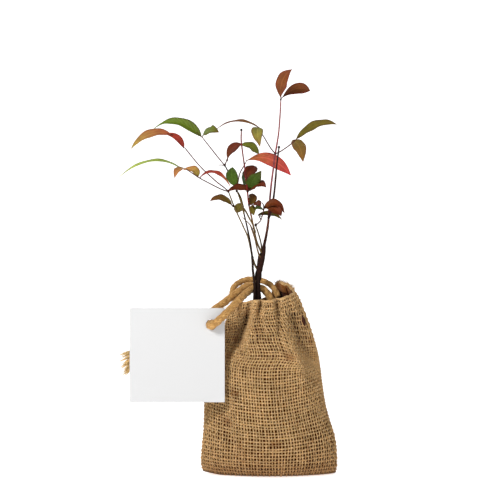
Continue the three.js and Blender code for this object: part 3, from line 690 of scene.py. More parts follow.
def casing_slit():
    """The opening that a drawstring leaves the casing by: a lens on the cloth in painted shade, dark in place
    of the shadow inside the opening, in the rows of turn and height round its middle, with a roll along its
    edge."""
    around = np.linspace(0, TAU, 28, endpoint=False)
    across = SLIT_WIDE * np.cos(around) + SLIT_LEAN * np.sin(around)
    tall = SLIT_TALL * np.sin(around)
    share = np.array([1.0, 0.7, 0.35, 0.05])[:, None]
    turns, heights = SLIT_TURN + share * across, SLIT_HEIGHT + share * tall
    over, under = (bag_point(turns, heights, inset) for inset in (-1.5, 0.2))
    edge, outer = (bag_point(turns[0], heights[0], inset) for inset in (-1.2, -2.2))
    out = unit(outer - edge)
    size = 0.36 + 0.06 * wander(1, 28, 4, loop=True)
    lip = yarns(edge[None], out[None], size, size, sides=8, closed=True)[0]
    return skin(lip, closed=True, uv_scale=(1.0, 10.0)), skin(np.concatenate([over[::-1], under]))


def rim_fringe(first, last, count, tall):
    """Frayed ends that stand up along part of the mouth."""
    turn = rng.uniform(first, last, count)
    root = bag_point(turn, BAG_NECK - 1, 0.4)
    up = unit(np.array((0, 0, 1.0)) + rng.standard_normal((count, 3)) * 0.45)
    return hairs(root, up, rng.uniform(0.4, 1.0, count) * tall, rng.uniform(0.12, 0.3, count),
                 rng.standard_normal((count, 3)) * 0.9)


# ---------------------------------------------------------------- rope and tag
def laid_rope(path, diameter, pitch, strands=3, sides=14, swell=1.0):
    """Strands turn once round the rope's line each pitch; each strand's own yarns show as ridges that
    turn the other way. Swell is the share by which each station is thicker."""
    _, n, b = frames_along(path)
    run = np.linspace(0, length_of(path), len(path))
    lay_radius, strand_radius = diameter * 0.14, diameter * 0.36
    turn = np.arange(sides) / sides * TAU
    skins = []
    for k in range(strands):
        a = TAU * (run / pitch + k / strands)[:, None]
        line = path + lay_radius * (np.cos(a) * n + np.sin(a) * b) * np.reshape(swell, (-1, 1))
        ridges = np.cos(6 * turn + TAU * run[:, None] / 5.5) + wander(sides, len(path), 5).T
        strand = sleeve(line, strand_radius * swell, sides, STRAND_RIDGE * ridges)
        skins.append(skin(strand, uv_scale=(2.0, run[-1] / 2.2), uv_shift=9.7 * k))
    return skins


def rope_fuzz(path, diameter, count):
    """Fibres that lift off a rope."""
    at = rng.integers(2, len(path) - 2, count)
    _, n, b = frames_along(path)
    a = rng.uniform(0, TAU, count)[:, None]
    out = np.cos(a) * n[at] + np.sin(a) * b[at]
    ahead = unit(unit(path[at + 1] - path[at]) * rng.choice([-1.0, 1.0], count)[:, None] + 0.3 * out)
    return hairs(path[at] + out * diameter * 0.42, ahead, rng.uniform(2, 5.5, count), FIBRE,
                 out * rng.uniform(0.2, 1.5, (count, 1)))


def frayed_end(path):
    """The opened end: thick tufts and single fibres that fan out from the rope's last station."""
    ahead = unit(np.array(FRAY_WAY))
    across = np.array((ahead[2], 0, -ahead[0]))
    deep = np.array((0, 1.0, 0))
    end = path[-1] + FRAY_FOOT
    few, many = 14, 130
    spread = np.linspace(-1, 1, few)[:, None]
    way = unit(ahead + across * spread * 0.24 + deep * rng.uniform(-0.2, 0.2, (few, 1)))
    roots = end + (0, 0, 6.2) * spread + deep * rng.uniform(-1, 1, (few, 1))
    lengths, radii = rng.uniform(8.0, 11.0, few), rng.uniform(0.6, 0.95, few)
    tufts = hairs(roots, way, lengths, radii, across * rng.uniform(-1, 0.6, (few, 1)))
    spread = rng.uniform(-1, 1, (many, 1))
    way = unit(ahead + across * spread * 0.4 + deep * rng.uniform(-0.3, 0.3, (many, 1)))
    roots = end + (0, 0, 6.4) * spread + deep * rng.uniform(-1.5, 1.5, (many, 1))
    lengths = rng.uniform(5, 11, many)
    return tufts + hairs(roots, way, lengths, 2 * FIBRE, rng.standard_normal((many, 3)) * 0.9)


def tag_card():
    """A square card with a round hole: rings from the outer edge to the hole in front and back again
    behind, with small rounded edges."""
    wide, tall = TAG_SIZE[0] / 2, TAG_SIZE[1] / 2
    hole = np.array((TAG_HOLE[0] - TAG_CENTRE[0], TAG_HOLE[1] - TAG_CENTRE[1]))
    x, z = np.array((wide, -wide, -wide, wide)), np.array((tall, tall, -tall, -tall))
    corners = np.arctan2(z - hole[1], x - hole[0])
    a = np.sort(np.concatenate([np.linspace(0, TAU, 120, endpoint=False), corners % TAU]))
    ray = np.stack([np.cos(a), np.sin(a)], -1)
    level = abs(ray) < 1e-9
    limit = (np.where(ray > 0, (wide, tall), (-wide, -tall)) - hole) / np.where(level, 1, ray)
    limit = np.where(level, np.inf, limit)
    edge = ray * limit.min(axis=1)[:, None] + hole
    ring = ray * TAG_HOLE_D / 2 + hole
    # share of the way to the hole, and how far behind the face
    rows = [(0.0, 0.12), (0.004, 0.0), (0.25, 0.0), (0.5, 0.0), (0.75, 0.0), (0.99, 0.0), (1.0, 0.1)]
    rows += [(share, TAG_THICK - depth) for share, depth in rows[::-1]]
    lean = (TAG_TOP_Y - TAG_FOOT_Y) / TAG_SIZE[1]
    rings = []
    for share, depth in rows:
        flat = edge * (1 - share) + ring * share
        y = (TAG_TOP_Y + TAG_FOOT_Y) / 2 + flat[:, 1] * lean + depth - TAG_THICK
        y += TAG_BOW * np.cos(flat[:, 0] / wide)
        rings.append(np.stack([flat[:, 0] + TAG_CENTRE[0], y, flat[:, 1] + TAG_CENTRE[1]], -1))
    return skin(np.array(rings), closed=True)


# ---------------------------------------------------------------- stems
STEMS = {
    # points as across, depth, height; radii spread evenly; sides; skin
    "trunk": ([
        (-9.1, 0, 111), (-9, 0, 122), (-8.8, 0, 133), (-8.5, 0, 147.3), (-7.3, 0, 154.5),
        (-6.6, 0, 159.5), (-5.6, 0, 164), (-4.6, 0, 168.8)],
        (3.4, 2.5, 2.15, 2.05, 1.6, 1.9, 2.55, 1.5), 26, "stem_bark"),
    "second_stem": ([
        (-12.8, -4.5, 111), (-11.3, -3.4, 131), (-11.3, -3.3, 144.5), (-12.4, -3.4, 153),
        (-13, -3.5, 163.5), (-15.3, -3.6, 178.9), (-18.9, -3.4, 195.2), (-21.3, -2.4, 206.3),
        (-24.4, -1, 212.8), (-31.3, 1, 228.1), (-33.4, 1.5, 232.1)],
        (1.5, 1.1, 0.85, 0.62, 0.48, 0.5), 14, "stem_bark"),
    "long_stalk": ([
        (-4.7, 0, 167.2), (-3.1, 0, 176.3), (-1.3, 0, 186.3), (-0.4, 0, 196), (0.9, -0.2, 213.8),
        (3, 0.3, 231.1), (4.3, 0.5, 240.7), (6.8, 0, 256.3), (8.1, -0.5, 273.8), (8.4, -0.5, 281)],
        (1.05, 0.9, 0.74, 0.64, 0.54, 0.5), 14, "mauve_stalk_skin"),
    "cut_stalk_right": ([
        (-0.5, -0.6, 192.6), (1, -1.8, 197), (2.9, -2.8, 207), (3.8, -3.4, 213.8), (5.3, -4, 231),
        (7.1, -4.2, 245.3)],
        (0.85, 0.8, 0.76, 0.7, 0.6, 0.66), 14, "maroon_stalk_skin"),
    "cut_stalk_left": ([
        (-5.2, -0.4, 165.2), (-7.2, -1.2, 169.4), (-9.5, -1.9, 175), (-10.8, -2.2, 180.5),
        (-12.8, -2.8, 190.3), (-15.5, -5, 203), (-16.5, -5.8, 212.3), (-18.3, -6.4, 228),
        (-21.1, -7.2, 249.8), (-21.1, -7.4, 258)],
        (0.75, 0.68, 0.63, 0.6, 0.58, 0.56, 0.52, 0.5), 14, "red_stalk_skin"),
    "left_stalk": ([
        (-7.8, 0.4, 152), (-10.6, 1, 157.1), (-12.6, 1.4, 163), (-14.2, 1.8, 170.2), (-16.2, 2.2, 178.6),
        (-20.3, 3.2, 187.8), (-26.8, 4.4, 202.3), (-30.8, 5, 212.9)],
        (0.8, 0.66, 0.6, 0.52, 0.46, 0.5), 14, "grey_green_stalk_skin"),
    "middle_stalk": ([
        (-10.6, -1.4, 181.6), (-12.6, 0.6, 188), (-15.1, 1.5, 192.6), (-17.9, 2.3, 198),
        (-20.1, 2.6, 201.2)],
        (0.7, 0.6, 0.55, 0.7), 12, "grey_green_stalk_skin"),
    "front_stalk": ([
        (-6.2, -1, 162), (-8.2, -3, 166.2), (-9.4, -4.2, 170.6), (-11, -5, 177.6), (-13.1, -5.6, 184),
        (-14.5, -6, 187.5), (-18.6, -7, 191.6), (-21.4, -7.6, 194.5)],
        (0.72, 0.62, 0.58, 0.62, 0.36, 0.2), 12, "brown_stalk_skin"),
    "back_stalk": ([
        (-5.7, 1.6, 166), (-6, 2.9, 171.5), (-7, 3.2, 176.6), (-8.4, 3.4, 181.5), (-10.4, 3.6, 187.4)],
        (0.72, 0.6, 0.52, 0.55), 12, "olive_stalk_skin"),
}
JOINTS = [
    # across, depth, height, radius of the dark swelling where leaf stalks part
    (8.4, -0.5, 281.2, 0.72), (7.1, -4.2, 245.6, 0.92), (-21.1, -7.4, 258.2, 0.9), (4.4, 0.6, 241.1, 0.95),
    (-30.9, 4.9, 213, 1.0), (-33.5, 1.6, 232.4, 0.95), (-20.2, 2.7, 201.5, 0.85), (-10.3, 3.5, 187.6, 1.05),
    (-24.5, -0.9, 213, 0.95), (-16.4, -5.7, 212.6, 0.9), (-15.3, -5, 202.6, 0.85), (-0.6, -0.4, 193, 0.95),
    (-10.8, -1.9, 182.4, 0.72), (-13.1, -5.6, 184.4, 0.74), (-27.2, 4, 201.8, 0.8),
    (-12.9, -3.5, 163.4, 1.05),
]
SHEATHS = [
    # foot, top, radius, and the turn that its middle faces
    ((-7.7, 0, 151), (-6.2, 0, 166.5), 1.75, -2.5), ((-7, 0, 155), (-4.6, 0, 172), 1.9, -0.7),
    ((-8.4, 0, 146), (-8.2, 0, 156), 1.95, 1.6),
]
STALK_SHEATH = ([(-5, 0, 166.4), (-4, 0, 172), (-3.1, 0, 176.3), (-1.3, 0, 186.3), (-0.5, 0, 193.6)],
                (1.55, 1.15, 1.0, 0.88, 0.7), 16)
LEFT_STALK_SHEATH = ([(-19, -3.4, 195.4), (-20.4, -3, 202.5), (-22, -2.2, 208), (-24, -1.2, 212.6)],
                     (0.6, 0.95, 1.0, 0.75), 14)
BARE_TWIG = ([(-33.5, 1.6, 232.2), (-36, 1.8, 232.5), (-38.8, 2, 232.4)], (0.4, 0.2), 8)
TWIG_RADII = (0.46, 0.4)
LIMB_STEP = 0.9  # from ring to ring
SHEATH_THICK = 0.22
LEAF_STALK_RADII = (0.36, 0.16)


def spread_radii(radii, stations):
    """Radii shared out evenly along a limb, eased between."""
    return np.interp(np.linspace(0, len(radii) - 1, stations), np.arange(len(radii)), radii)


def limb(points, radii, sides, rough=0.05):
    """A stem or stalk: a sleeve whose relief is long seeded ridges, with a rounded last ring."""
    path = place(points)
    path = smooth_path(path, max(12, int(length_of(path) / LIMB_STEP)))
    count = len(path)
    relief = rough * wander(sides, count, 7).T + 0.6 * rough * wander(count, sides, 2, loop=True)
    radius = spread_radii(radii, count)
    radius[-3:] *= (0.95, 0.8, 0.45)
    return skin(sleeve(path, radius, sides, relief), uv_scale=(2.0, length_of(path) / 12), uv_shift=radii[0])


def knob(centre, radius):
    """A dark swelling: eight rings of a ball, a little taller than wide."""
    lump = ball(np.linspace(-0.94, 0.94, 8), 1 + 0.12 * wander(8, 12, 3, loop=True), 1.25)
    return skin(lump * radius + place(centre)[0])


def sheath(foot, top, radius, turned):
    """A dry leaf base that clasps the trunk: a curved strip, thick in the middle, narrowing to a point."""
    foot, top = place(foot)[0], place(top)[0]
    t = np.linspace(0, 1, 14)[:, None]
    arc = np.linspace(-1, 1, 9)[None]
    reach = 1.9 * (1 - t) ** 0.8 + 0.12
    a = turned + arc * reach
    around = np.stack([np.cos(a), np.sin(a), 0 * a], -1)
    axis = (foot + (top - foot) * t)[:, None]
    r = radius * (1 + 0.25 * np.sin(t * math.pi))[..., None]
    return skin(np.concatenate([axis + (r + SHEATH_THICK) * around, (axis + r * around)[:, ::-1]], axis=1))


# ---------------------------------------------------------------- leaves
FRONT = (0, -1, 0.15)
FRONT_UP = (0, -0.75, 0.65)
UP = (0, -0.32, 1)
BACK_UP = (0, 0.6, 0.8)
RIPPLE = 0.05  # a leaf's edge waves by this share of its width
BLADE_THICK = 0.3
RIB_DEPTH = 0.1


def leaf(tint, base, tip, bow, width, face, fold, start=None, widest=0.42, hook=0.1, fall=1.05):
    """One leaf's sizes: its ends as across, depth, height, and in space the bow of its midrib and the
    way its upper side looks; start is where its stalk leaves the twig, widest the share of the length
    where it is broadest, fall how fast it narrows to the tip, and hook how far the tip curls down."""
    return {"tint": tint, "base": base, "tip": tip, "bow": bow, "width": width, "face": face, "fold": fold,
            "start": start, "widest": widest, "hook": hook, "fall": fall}


MASSES = {
    # slot, twigs as rows of across, depth, height, and leaves
    "leaves_top": ("leaf_red_brown", [
        [(8.4, -0.5, 280.6), (8.5, -0.8, 282.2), (8.6, -1, 283.4)]], [
        leaf("rust", (8.5, -1, 281.8), (15, -11, 303.4), (-2.6, 0, 0), 10, FRONT_UP, 0.2, widest=0.6,
             hook=0.3),
        leaf("rust", (8.8, 0, 282), (31.6, 13, 288.6), (-0.4, 0, 4.4), 8.6, FRONT, 0.2,
             start=(8.5, -1, 281.6), widest=0.58, hook=0.3)]),
    "leaves_right": ("leaf_olive", [
        [(4.5, 0.7, 240.9), (8.1, 1.2, 242.6), (17.4, 0, 249.2), (20, -1, 251.8)]], [
        leaf("olive", (20, -2, 251.8), (50.2, -21, 262.2), (0, 0, 4.2), 9.0, FRONT_UP, 0.3, widest=0.43),
        leaf("ochre", (17.6, 2, 251.4), (25.2, 19, 235.8), (1, 0, 2.4), 10.2, BACK_UP, 0.15,
             start=(18.6, -0.4, 250.4))]),
    "leaves_upper_left": ("leaf_olive", [
        [(4.2, 0.6, 241), (1, 1.6, 245), (-4.6, 4, 254.3), (-8.4, 6, 259.4)]], [
        leaf("brown_red", (-6.4, 5, 259.8), (-40.2, 25, 261), (0, 0, 5.8), 5.4, UP, 0.25, widest=0.52),
        leaf("tan_green", (-8.6, 4, 260.8), (-7, -16, 245.6), (-1.4, 0, 1.8), 9, FRONT_UP, 0.15,
             widest=0.34)]),
    "leaf_red": ("leaf_coral", [
        [(-24.5, -0.9, 213), (-24.2, 1.8, 216), (-23.5, 3.8, 220), (-22.1, 4.4, 226.6),
         (-19.1, 4.8, 232.1), (-17.4, 5, 235.2)]], [
        leaf("coral", (-17.4, 5, 235.8), (16.4, 12, 224.8), (0, 0, 6.9), 9.8, FRONT, 0.3, widest=0.58)]),
    "leaves_tall_left": ("leaf_green", [
        [(-33.4, 1.6, 232.2), (-35.2, 4, 234.3), (-39.5, 8, 239.8), (-45.5, 12, 247.6),
         (-50, 14.5, 253.5)]], [
        leaf("green", (-51, 15, 254.4), (-88.8, 26, 259.8), (0, 0, 8.9), 9.0, FRONT_UP, 0.3, widest=0.3,
             fall=1.7),
        leaf("maroon_tipped", (-50.2, 14, 254.4), (-37.8, -2, 256.8), (-1.6, 0, 2.6), 11.6, FRONT_UP, 0.1,
             widest=0.45, hook=0)]),
    "leaves_short_left": ("leaf_red_brown", [
        [(-33.4, 1.5, 232), (-32, -0.2, 236), (-31.2, 0, 238.2)]], [
        leaf("maroon", (-31.4, -0.2, 235), (-20.6, -1.5, 248.2), (-2.8, 0, 2.3), 6.6, FRONT, 0.2,
             widest=0.62),
        leaf("moss", (-23, 0.4, 246.8), (-7.4, 7, 240.8), (0.4, 0, 3), 8, FRONT_UP, 0.2, widest=0.6,
             start=(-24, -0.8, 246.6))]),
    "leaves_long_left": ("leaf_orange", [
        [(-30.9, 5, 213), (-34.2, 7, 216), (-38.7, 7.8, 219.4), (-46, 8.6, 225.9), (-52.5, 8.4, 232.4),
         (-63.7, 6, 245.9)]], [
        leaf("orange_red", (-64.2, 5.8, 245.4), (-79, 3, 255.8), (2.2, 0, 2.8), 4.9, FRONT, 0.25),
        leaf("red_to_yellow", (-73.4, 3.4, 255.4), (-104, -9, 244.2), (-1, 0, 5.4), 7.8, FRONT_UP, 0.3,
             start=(-72, 4, 255))]),
    "leaves_low_left": ("leaf_yellow_green", [
        [(-30.9, 4.9, 212.8), (-34.6, 2.4, 213.8), (-44.3, -3, 218.3), (-53.1, -8, 222.9),
         (-63.1, -12, 229.4)]], [
        leaf("yellow_green", (-66.6, -13.6, 229.6), (-113, -27, 223), (1.2, 0, 8.2), 5.8, UP, 0.25,
             widest=0.36),
        leaf("orange_green", (-53.8, -8, 223), (-65.4, 4, 229), (2.6, 0, 3.2), 6.4, FRONT_UP, 0.2,
             start=(-54, -8.5, 223.4)),
        leaf("orange_tip", (-62.6, -13, 229.2), (-71.2, -28, 222), (-1, 0, 2.8), 6.6, UP, 0.2),
        leaf("red_to_tan", (-52, -8.4, 223), (-28.8, -15, 216.2), (0, 0, 6.6), 6.8, UP, 0.25, widest=0.38,
             start=(-51.5, -7.5, 222.3))]),
    "leaves_middle_left": ("leaf_green", [
        [(-24.4, -1, 213), (-25.4, -3, 216), (-25.3, -4, 218)]], [
        leaf("bright_green", (-25.3, -4, 216.6), (-27.6, -19, 229.2), (-1.6, 0, 1), 9, (0, -0.7, -0.7),
             0.15, widest=0.52, fall=0.65)]),
    "leaves_middle": ("leaf_maroon", [
        [(-16.4, -5.7, 212.6), (-15, -4, 213.2), (-14.4, -2.6, 213.8)],
        [(-16.4, -5.7, 212.6), (-17.8, -2.4, 214.2), (-18.4, -0.6, 215.4)],
        [(-15, -4, 213.2), (-16.4, -0.6, 218.4), (-16.6, 2.5, 223.9)]], [
        leaf("bright_green", (-18.6, 0, 215.6), (-18.9, 12, 228.2), (-1, 0, 0.6), 6.6, (1, -0.45, 0.3),
             0.2, start=(-18.4, -0.6, 215.4)),
        leaf("maroon", (-17, 2.5, 221.8), (-9.6, 15, 232.4), (-1.4, 0, 0.8), 9.4, FRONT_UP, 0.15,
             widest=0.54, fall=0.65, start=(-16.6, 2.4, 223.6)),
        leaf("dark_green", (-14.6, -2.4, 214), (-6.2, -18, 226.8), (-1, 0, 1), 10.6, (0, -0.8, -0.5), 0.15),
        leaf("maroon", (-14, -3.2, 213.4), (-2.6, -14, 215.8), (0, 0, 3), 8.4, FRONT_UP, 0.2, widest=0.5),
        leaf("maroon", (-14.2, -4.4, 213.4), (-31.6, -10.5, 212.6), (0, 0, 2.4), 6.6, FRONT_UP, 0.2,
             start=(-16.6, -5, 213))]),
    "leaf_lower_left": ("leaf_olive", [
        [(-27.2, 4, 201.8), (-28, 2.4, 202.2), (-29, 1.6, 203)]], [
        leaf("brown_olive", (-28.2, 1.5, 202.8), (-44.8, -7, 205.4), (0, 0, 3.4), 6.6, FRONT_UP, 0.25)]),
    "leaf_lower_middle": ("leaf_olive", [
        [(-20.2, 2.7, 201.4), (-21, 4.2, 202.9)]], [
        leaf("olive", (-20.2, 3.4, 203.4), (-24.6, 9, 196.2), (-0.6, 0, 0.8), 7, (0.2, -1, 0.3), 0.15,
             widest=0.5)]),
    "leaves_lower_centre": ("leaf_olive", [
        [(-15.3, -5, 202.4), (-14.6, -5.4, 202.8), (-13.9, -5.8, 203.2)]], [
        leaf("brown_olive", (-15.2, -5, 202), (-12.6, 3, 211.6), (1, 0, 0), 6.8, (0.3, -1, 0.1), 0.15,
             widest=0.6, fall=0.7),
        leaf("maroon", (-12.6, -6.2, 202), (-6.6, -17, 201.8), (0, 0, 1.4), 7.8, FRONT_UP, 0.15,
             start=(-13.9, -5.8, 203.2)),
        leaf("olive", (-12.4, -6.4, 202.2), (-11.6, -12, 194.6), (-0.6, 0, 0), 5, FRONT, 0.15,
             start=(-13.9, -5.8, 203.2))]),
    "leaves_lower_right": ("leaf_maroon", [
        [(-10.3, 3.5, 187.6), (-8.1, 1.6, 189.2), (-6.4, -0.6, 191.2), (-5.2, -3, 195.2),
         (-4.6, -5, 197.6), (-3.6, -6, 200.6)],
        [(-6.4, -0.6, 191.2), (-8.3, -1.6, 195.6)],
        [(-4.6, -5, 197.6), (-4.4, -5, 202), (-5.7, -4, 204.4)]], [
        leaf("green", (-4.8, -5, 199.2), (-10.6, -13, 199.4), (0, 0, 0.8), 5.6, FRONT_UP, 0.2,
             start=(-4.5, -5, 199.6)),
        leaf("maroon_brown", (-4, -6, 199.8), (11.6, -11, 195.8), (0.4, 0, 6), 6.8, FRONT_UP, 0.2),
        leaf("maroon_brown", (-3.6, -5.8, 199.8), (9, -15, 194.4), (0.6, 0, 2.2), 8.6, FRONT_UP, 0.2,
             widest=0.6),
        leaf("olive", (-8.6, -1.4, 195), (10, 9, 191.6), (0.6, 0, 2.6), 4.8, FRONT_UP, 0.2,
             start=(-5.6, -2.2, 193.8))]),
}
TINTS = {
    # foot, middle, tip and edge
    "coral": ((0.60, 0.38, 0.17), (0.74, 0.33, 0.26), (0.75, 0.18, 0.23), (0.74, 0.24, 0.22)),
    "rust": ((0.38, 0.19, 0.10), (0.45, 0.25, 0.11), (0.41, 0.17, 0.09), (0.46, 0.11, 0.09)),
    "olive": ((0.35, 0.31, 0.08), (0.38, 0.33, 0.09), (0.38, 0.28, 0.11), (0.34, 0.21, 0.09)),
    "ochre": ((0.40, 0.34, 0.10), (0.46, 0.33, 0.11), (0.46, 0.28, 0.11), (0.38, 0.18, 0.09)),
    "brown_red": ((0.42, 0.31, 0.14), (0.46, 0.28, 0.15), (0.34, 0.12, 0.10), (0.38, 0.13, 0.09)),
    "tan_green": ((0.46, 0.46, 0.18), (0.55, 0.50, 0.22), (0.55, 0.38, 0.20), (0.46, 0.27, 0.14)),
    "green": ((0.32, 0.37, 0.09), (0.36, 0.44, 0.11), (0.40, 0.48, 0.14), (0.32, 0.32, 0.10)),
    "maroon_tipped": ((0.36, 0.44, 0.12), (0.38, 0.42, 0.13), (0.33, 0.08, 0.05), (0.38, 0.24, 0.10)),
    "maroon": ((0.36, 0.18, 0.07), (0.36, 0.14, 0.055), (0.32, 0.11, 0.04), (0.27, 0.07, 0.04)),
    "moss": ((0.38, 0.40, 0.13), (0.41, 0.43, 0.14), (0.38, 0.38, 0.13), (0.34, 0.26, 0.10)),
    "orange_red": ((0.46, 0.14, 0.10), (0.56, 0.19, 0.13), (0.60, 0.28, 0.18), (0.46, 0.12, 0.09)),
    "red_to_yellow": ((0.62, 0.30, 0.20), (0.63, 0.46, 0.25), (0.60, 0.56, 0.22), (0.58, 0.32, 0.18)),
    "red_to_tan": ((0.52, 0.16, 0.12), (0.62, 0.24, 0.17), (0.76, 0.56, 0.34), (0.50, 0.15, 0.11)),
    "orange_green": ((0.50, 0.46, 0.18), (0.66, 0.48, 0.25), (0.66, 0.40, 0.24), (0.54, 0.28, 0.15)),
    "orange_tip": ((0.52, 0.42, 0.20), (0.70, 0.47, 0.27), (0.62, 0.40, 0.24), (0.56, 0.30, 0.16)),
    "yellow_green": ((0.50, 0.58, 0.25), (0.62, 0.69, 0.31), (0.72, 0.74, 0.40), (0.54, 0.58, 0.26)),
    "bright_green": ((0.28, 0.38, 0.09), (0.24, 0.34, 0.07), (0.24, 0.30, 0.07), (0.22, 0.24, 0.06)),
    "dark_green": ((0.26, 0.36, 0.09), (0.23, 0.31, 0.08), (0.26, 0.22, 0.07), (0.24, 0.15, 0.06)),
    "brown_olive": ((0.38, 0.32, 0.10), (0.40, 0.27, 0.11), (0.36, 0.17, 0.09), (0.32, 0.12, 0.07)),
    "maroon_brown": ((0.38, 0.20, 0.05), (0.38, 0.15, 0.035), (0.33, 0.12, 0.035), (0.26, 0.09, 0.035)),
}


def leaf_line(row, t):
    """The midrib: from base to tip, bowed by 4 t (1 - t)."""
    base, tip = place(row["base"])[0], place(row["tip"])[0]
    t = np.asarray(t)[..., None]
    return base + (tip - base) * t + np.array(row["bow"], float) * 4 * t * (1 - t)


def blade(row):
    """A closed blade: half width as t^p (1 - t)^q over its peak, halves raised by the fold and rippled
    at the edge, a sunk midrib, and the last part curled down."""
    t = np.sin(np.linspace(0, 1, 34) * math.pi / 2) ** 1.15
    t = np.clip(t, 0.004, 0.996)
    q = row["fall"]
    widest = row["widest"]
    p = widest * q / (1 - widest)
    half = row["width"] / 2 * t**p * (1 - t) ** q / (widest**p * (1 - widest) ** q)
    half = np.maximum(half, 0.28 - 0.16 * t)
    line = leaf_line(row, t)
    ahead = unit(np.gradient(line, axis=0))
    side = unit(np.cross(ahead, np.array(row["face"], float)))
    up = unit(np.cross(side, ahead))
    x = np.concatenate([np.linspace(1, -1, 11), np.linspace(-0.94, 0.94, 10)])
    lower = np.concatenate([np.zeros(11), np.ones(10)])
    phase = rng.uniform(0, TAU)
    ripple = RIPPLE * np.sin(TAU * 2.6 * t[:, None] + phase + 1.3 * np.sign(x)) * abs(x) ** 2 * row["width"]
    lift = row["fold"] * half[:, None] * abs(x) ** 1.35 + ripple * np.sin(t[:, None] * math.pi)
    lift -= RIB_DEPTH * np.exp(-((x / 0.07) ** 2)) * (1 - lower)
    lift -= lower * (BLADE_THICK * (1 - abs(x) ** 3) + 0.05)
    lift -= row["hook"] * row["width"] * np.clip((t[:, None] - 0.7) / 0.3, 0, 1) ** 2
    rings = line[:, None] + side[:, None] * (half[:, None] * x)[..., None] + up[:, None] * lift[..., None]
    return skin(rings)


def leaf_stalk(row, last_twig_point):
    """A thin stalk from the twig to the leaf, ending inside the blade's foot."""
    foot = place(row["start"] or last_twig_point)
    rib = leaf_line(row, np.array([0.0, 0.1]))
    gap = np.linalg.norm(foot[0] - rib[0])
    points = np.vstack([foot, rib]) if gap > 0.6 else rib
    path = smooth_path(points, 22)
    return skin(sleeve(path, np.linspace(*LEAF_STALK_RADII, len(path)), 8), uv_scale=(1.0, 3.0))


# ---------------------------------------------------------------- finishes in use
JUTE = {
    # pale, middle and dark streaks, their scale round and along, and the strength of the stains and of the
    # browning at the bottom
    "burlap_yarn": ((0.97, 0.865, 0.675), (0.825, 0.65, 0.415), (0.57, 0.345, 0.13), (3.0, 0.45), 0.6),
    # a dark copy of the yarn: painted shade for cloth that lies in shadow
    "burlap_shadow_side": ((0.40, 0.19, 0.08), (0.29, 0.125, 0.045), (0.15, 0.055, 0.02), (3.0, 0.6)),
    "burlap_seam": ((0.50, 0.37, 0.23), (0.38, 0.27, 0.16), (0.25, 0.17, 0.09), (3.0, 0.6)),
    # a darker, redder copy of the yarn: painted shade for the cloth inside the mouth
    "burlap_fold_painted_shade": ((0.78, 0.54, 0.30), (0.58, 0.35, 0.165), (0.34, 0.17, 0.07), (6.0, 1.5)),
    "opened_fibre": ((1.0, 0.90, 0.66), (0.95, 0.80, 0.54), (0.82, 0.64, 0.38), (1.0, 0.5)),
    "red_brown_fibre": ((0.66, 0.38, 0.22), (0.50, 0.27, 0.15), (0.32, 0.16, 0.09), (1.0, 0.5)),
    "drawstring_jute": ((0.90, 0.73, 0.46), (0.78, 0.59, 0.35), (0.61, 0.42, 0.22), (3.0, 0.3)),
}
jute = {name: jute_finish(name, *row) for name, row in JUTE.items()}
soil = soil_finish()
BARK = {
    # dark and light streaks, roughness, and the tints above with the heights where they begin and are full
    "stem_bark": ((0.05, 0.022, 0.014), (0.17, 0.085, 0.05), 0.8),
    "dry_sheath": ((0.06, 0.02, 0.012), (0.21, 0.085, 0.045), 0.8),
    "joint_skin": ((0.06, 0.035, 0.03), (0.16, 0.08, 0.07), 0.45),
    "mauve_stalk_skin": ((0.24, 0.10, 0.07), (0.42, 0.22, 0.16), 0.6,
                         ((0.38, 0.14, 0.16), (0.62, 0.33, 0.35), 194.0, 206.0)),
    "maroon_stalk_skin": ((0.11, 0.04, 0.035), (0.22, 0.085, 0.07), 0.6),
    "red_stalk_skin": ((0.28, 0.19, 0.10), (0.50, 0.40, 0.20), 0.5,
                       ((0.30, 0.07, 0.06), (0.50, 0.15, 0.13), 186.0, 204.0)),
    "grey_green_stalk_skin": ((0.26, 0.18, 0.10), (0.50, 0.42, 0.24), 0.5),
    "brown_stalk_skin": ((0.22, 0.13, 0.07), (0.44, 0.32, 0.17), 0.5),
    "olive_stalk_skin": ((0.20, 0.14, 0.07), (0.42, 0.34, 0.16), 0.5),
    "twig_skin": ((0.20, 0.07, 0.05), (0.36, 0.15, 0.11), 0.7),
}
bark = {name: bark_finish(name, *row) for name, row in BARK.items()}
leaf_skins = {name: leaf_finish("leaf_" + name, *tints) for name, tints in TINTS.items()}


def card_finish():
    """Uncoated white card with a faint tooth."""
    f = Finish("white_card", 0.6, specular=0.25)
    tooth = f.noise(f.coords(), 1500.0, detail=2.0)
    f.bump(tooth, 0.15, 0.0001)
    return f.colour(linear(TAG_WHITE))


def floor_finish():
    """The pale surface that the bag stands on."""
    f = Finish("pale_floor", 0.8, specular=0.05)
    f.shader.inputs["Emission Color"].default_value = (1, 1, 1, 1)
    f.shader.inputs["Emission Strength"].default_value = FLOOR_GLOW
    return f.colour(linear((0.98, 0.98, 0.98)))


# ---------------------------------------------------------------- camera and light
def front_camera():
    """The eye stands EYE_TILT above the horizon, EYE in front of the stem."""
    data = bpy.data.cameras.new("front_view")
    data.sensor_width = SENSOR
    data.lens = SENSOR * EYE / VIEW_WIDTH
    camera = stand("front_view", data)
    camera.location = (EYE_X * MM, -EYE * math.cos(EYE_TILT) * MM, (EYE_Z + EYE * math.sin(EYE_TILT)) * MM)
    camera.rotation_euler = (math.pi / 2 - EYE_TILT, 0, 0)
    bpy.context.scene.camera = camera


def soft_box(name, position, size, power):
    """A square area light that looks at the middle of the plant."""
    data = bpy.data.lights.new(name, "AREA")
    data.size = size
    data.energy = power
    lamp = stand(name, data)
    lamp.location = position
    away = np.array(position) - (0, 0, 0.13)
    yaw, pitch = math.atan2(away[1], away[0]), math.atan2(away[2], math.hypot(away[0], away[1]))
    lamp.rotation_euler = (0, math.pi / 2 - pitch, yaw)


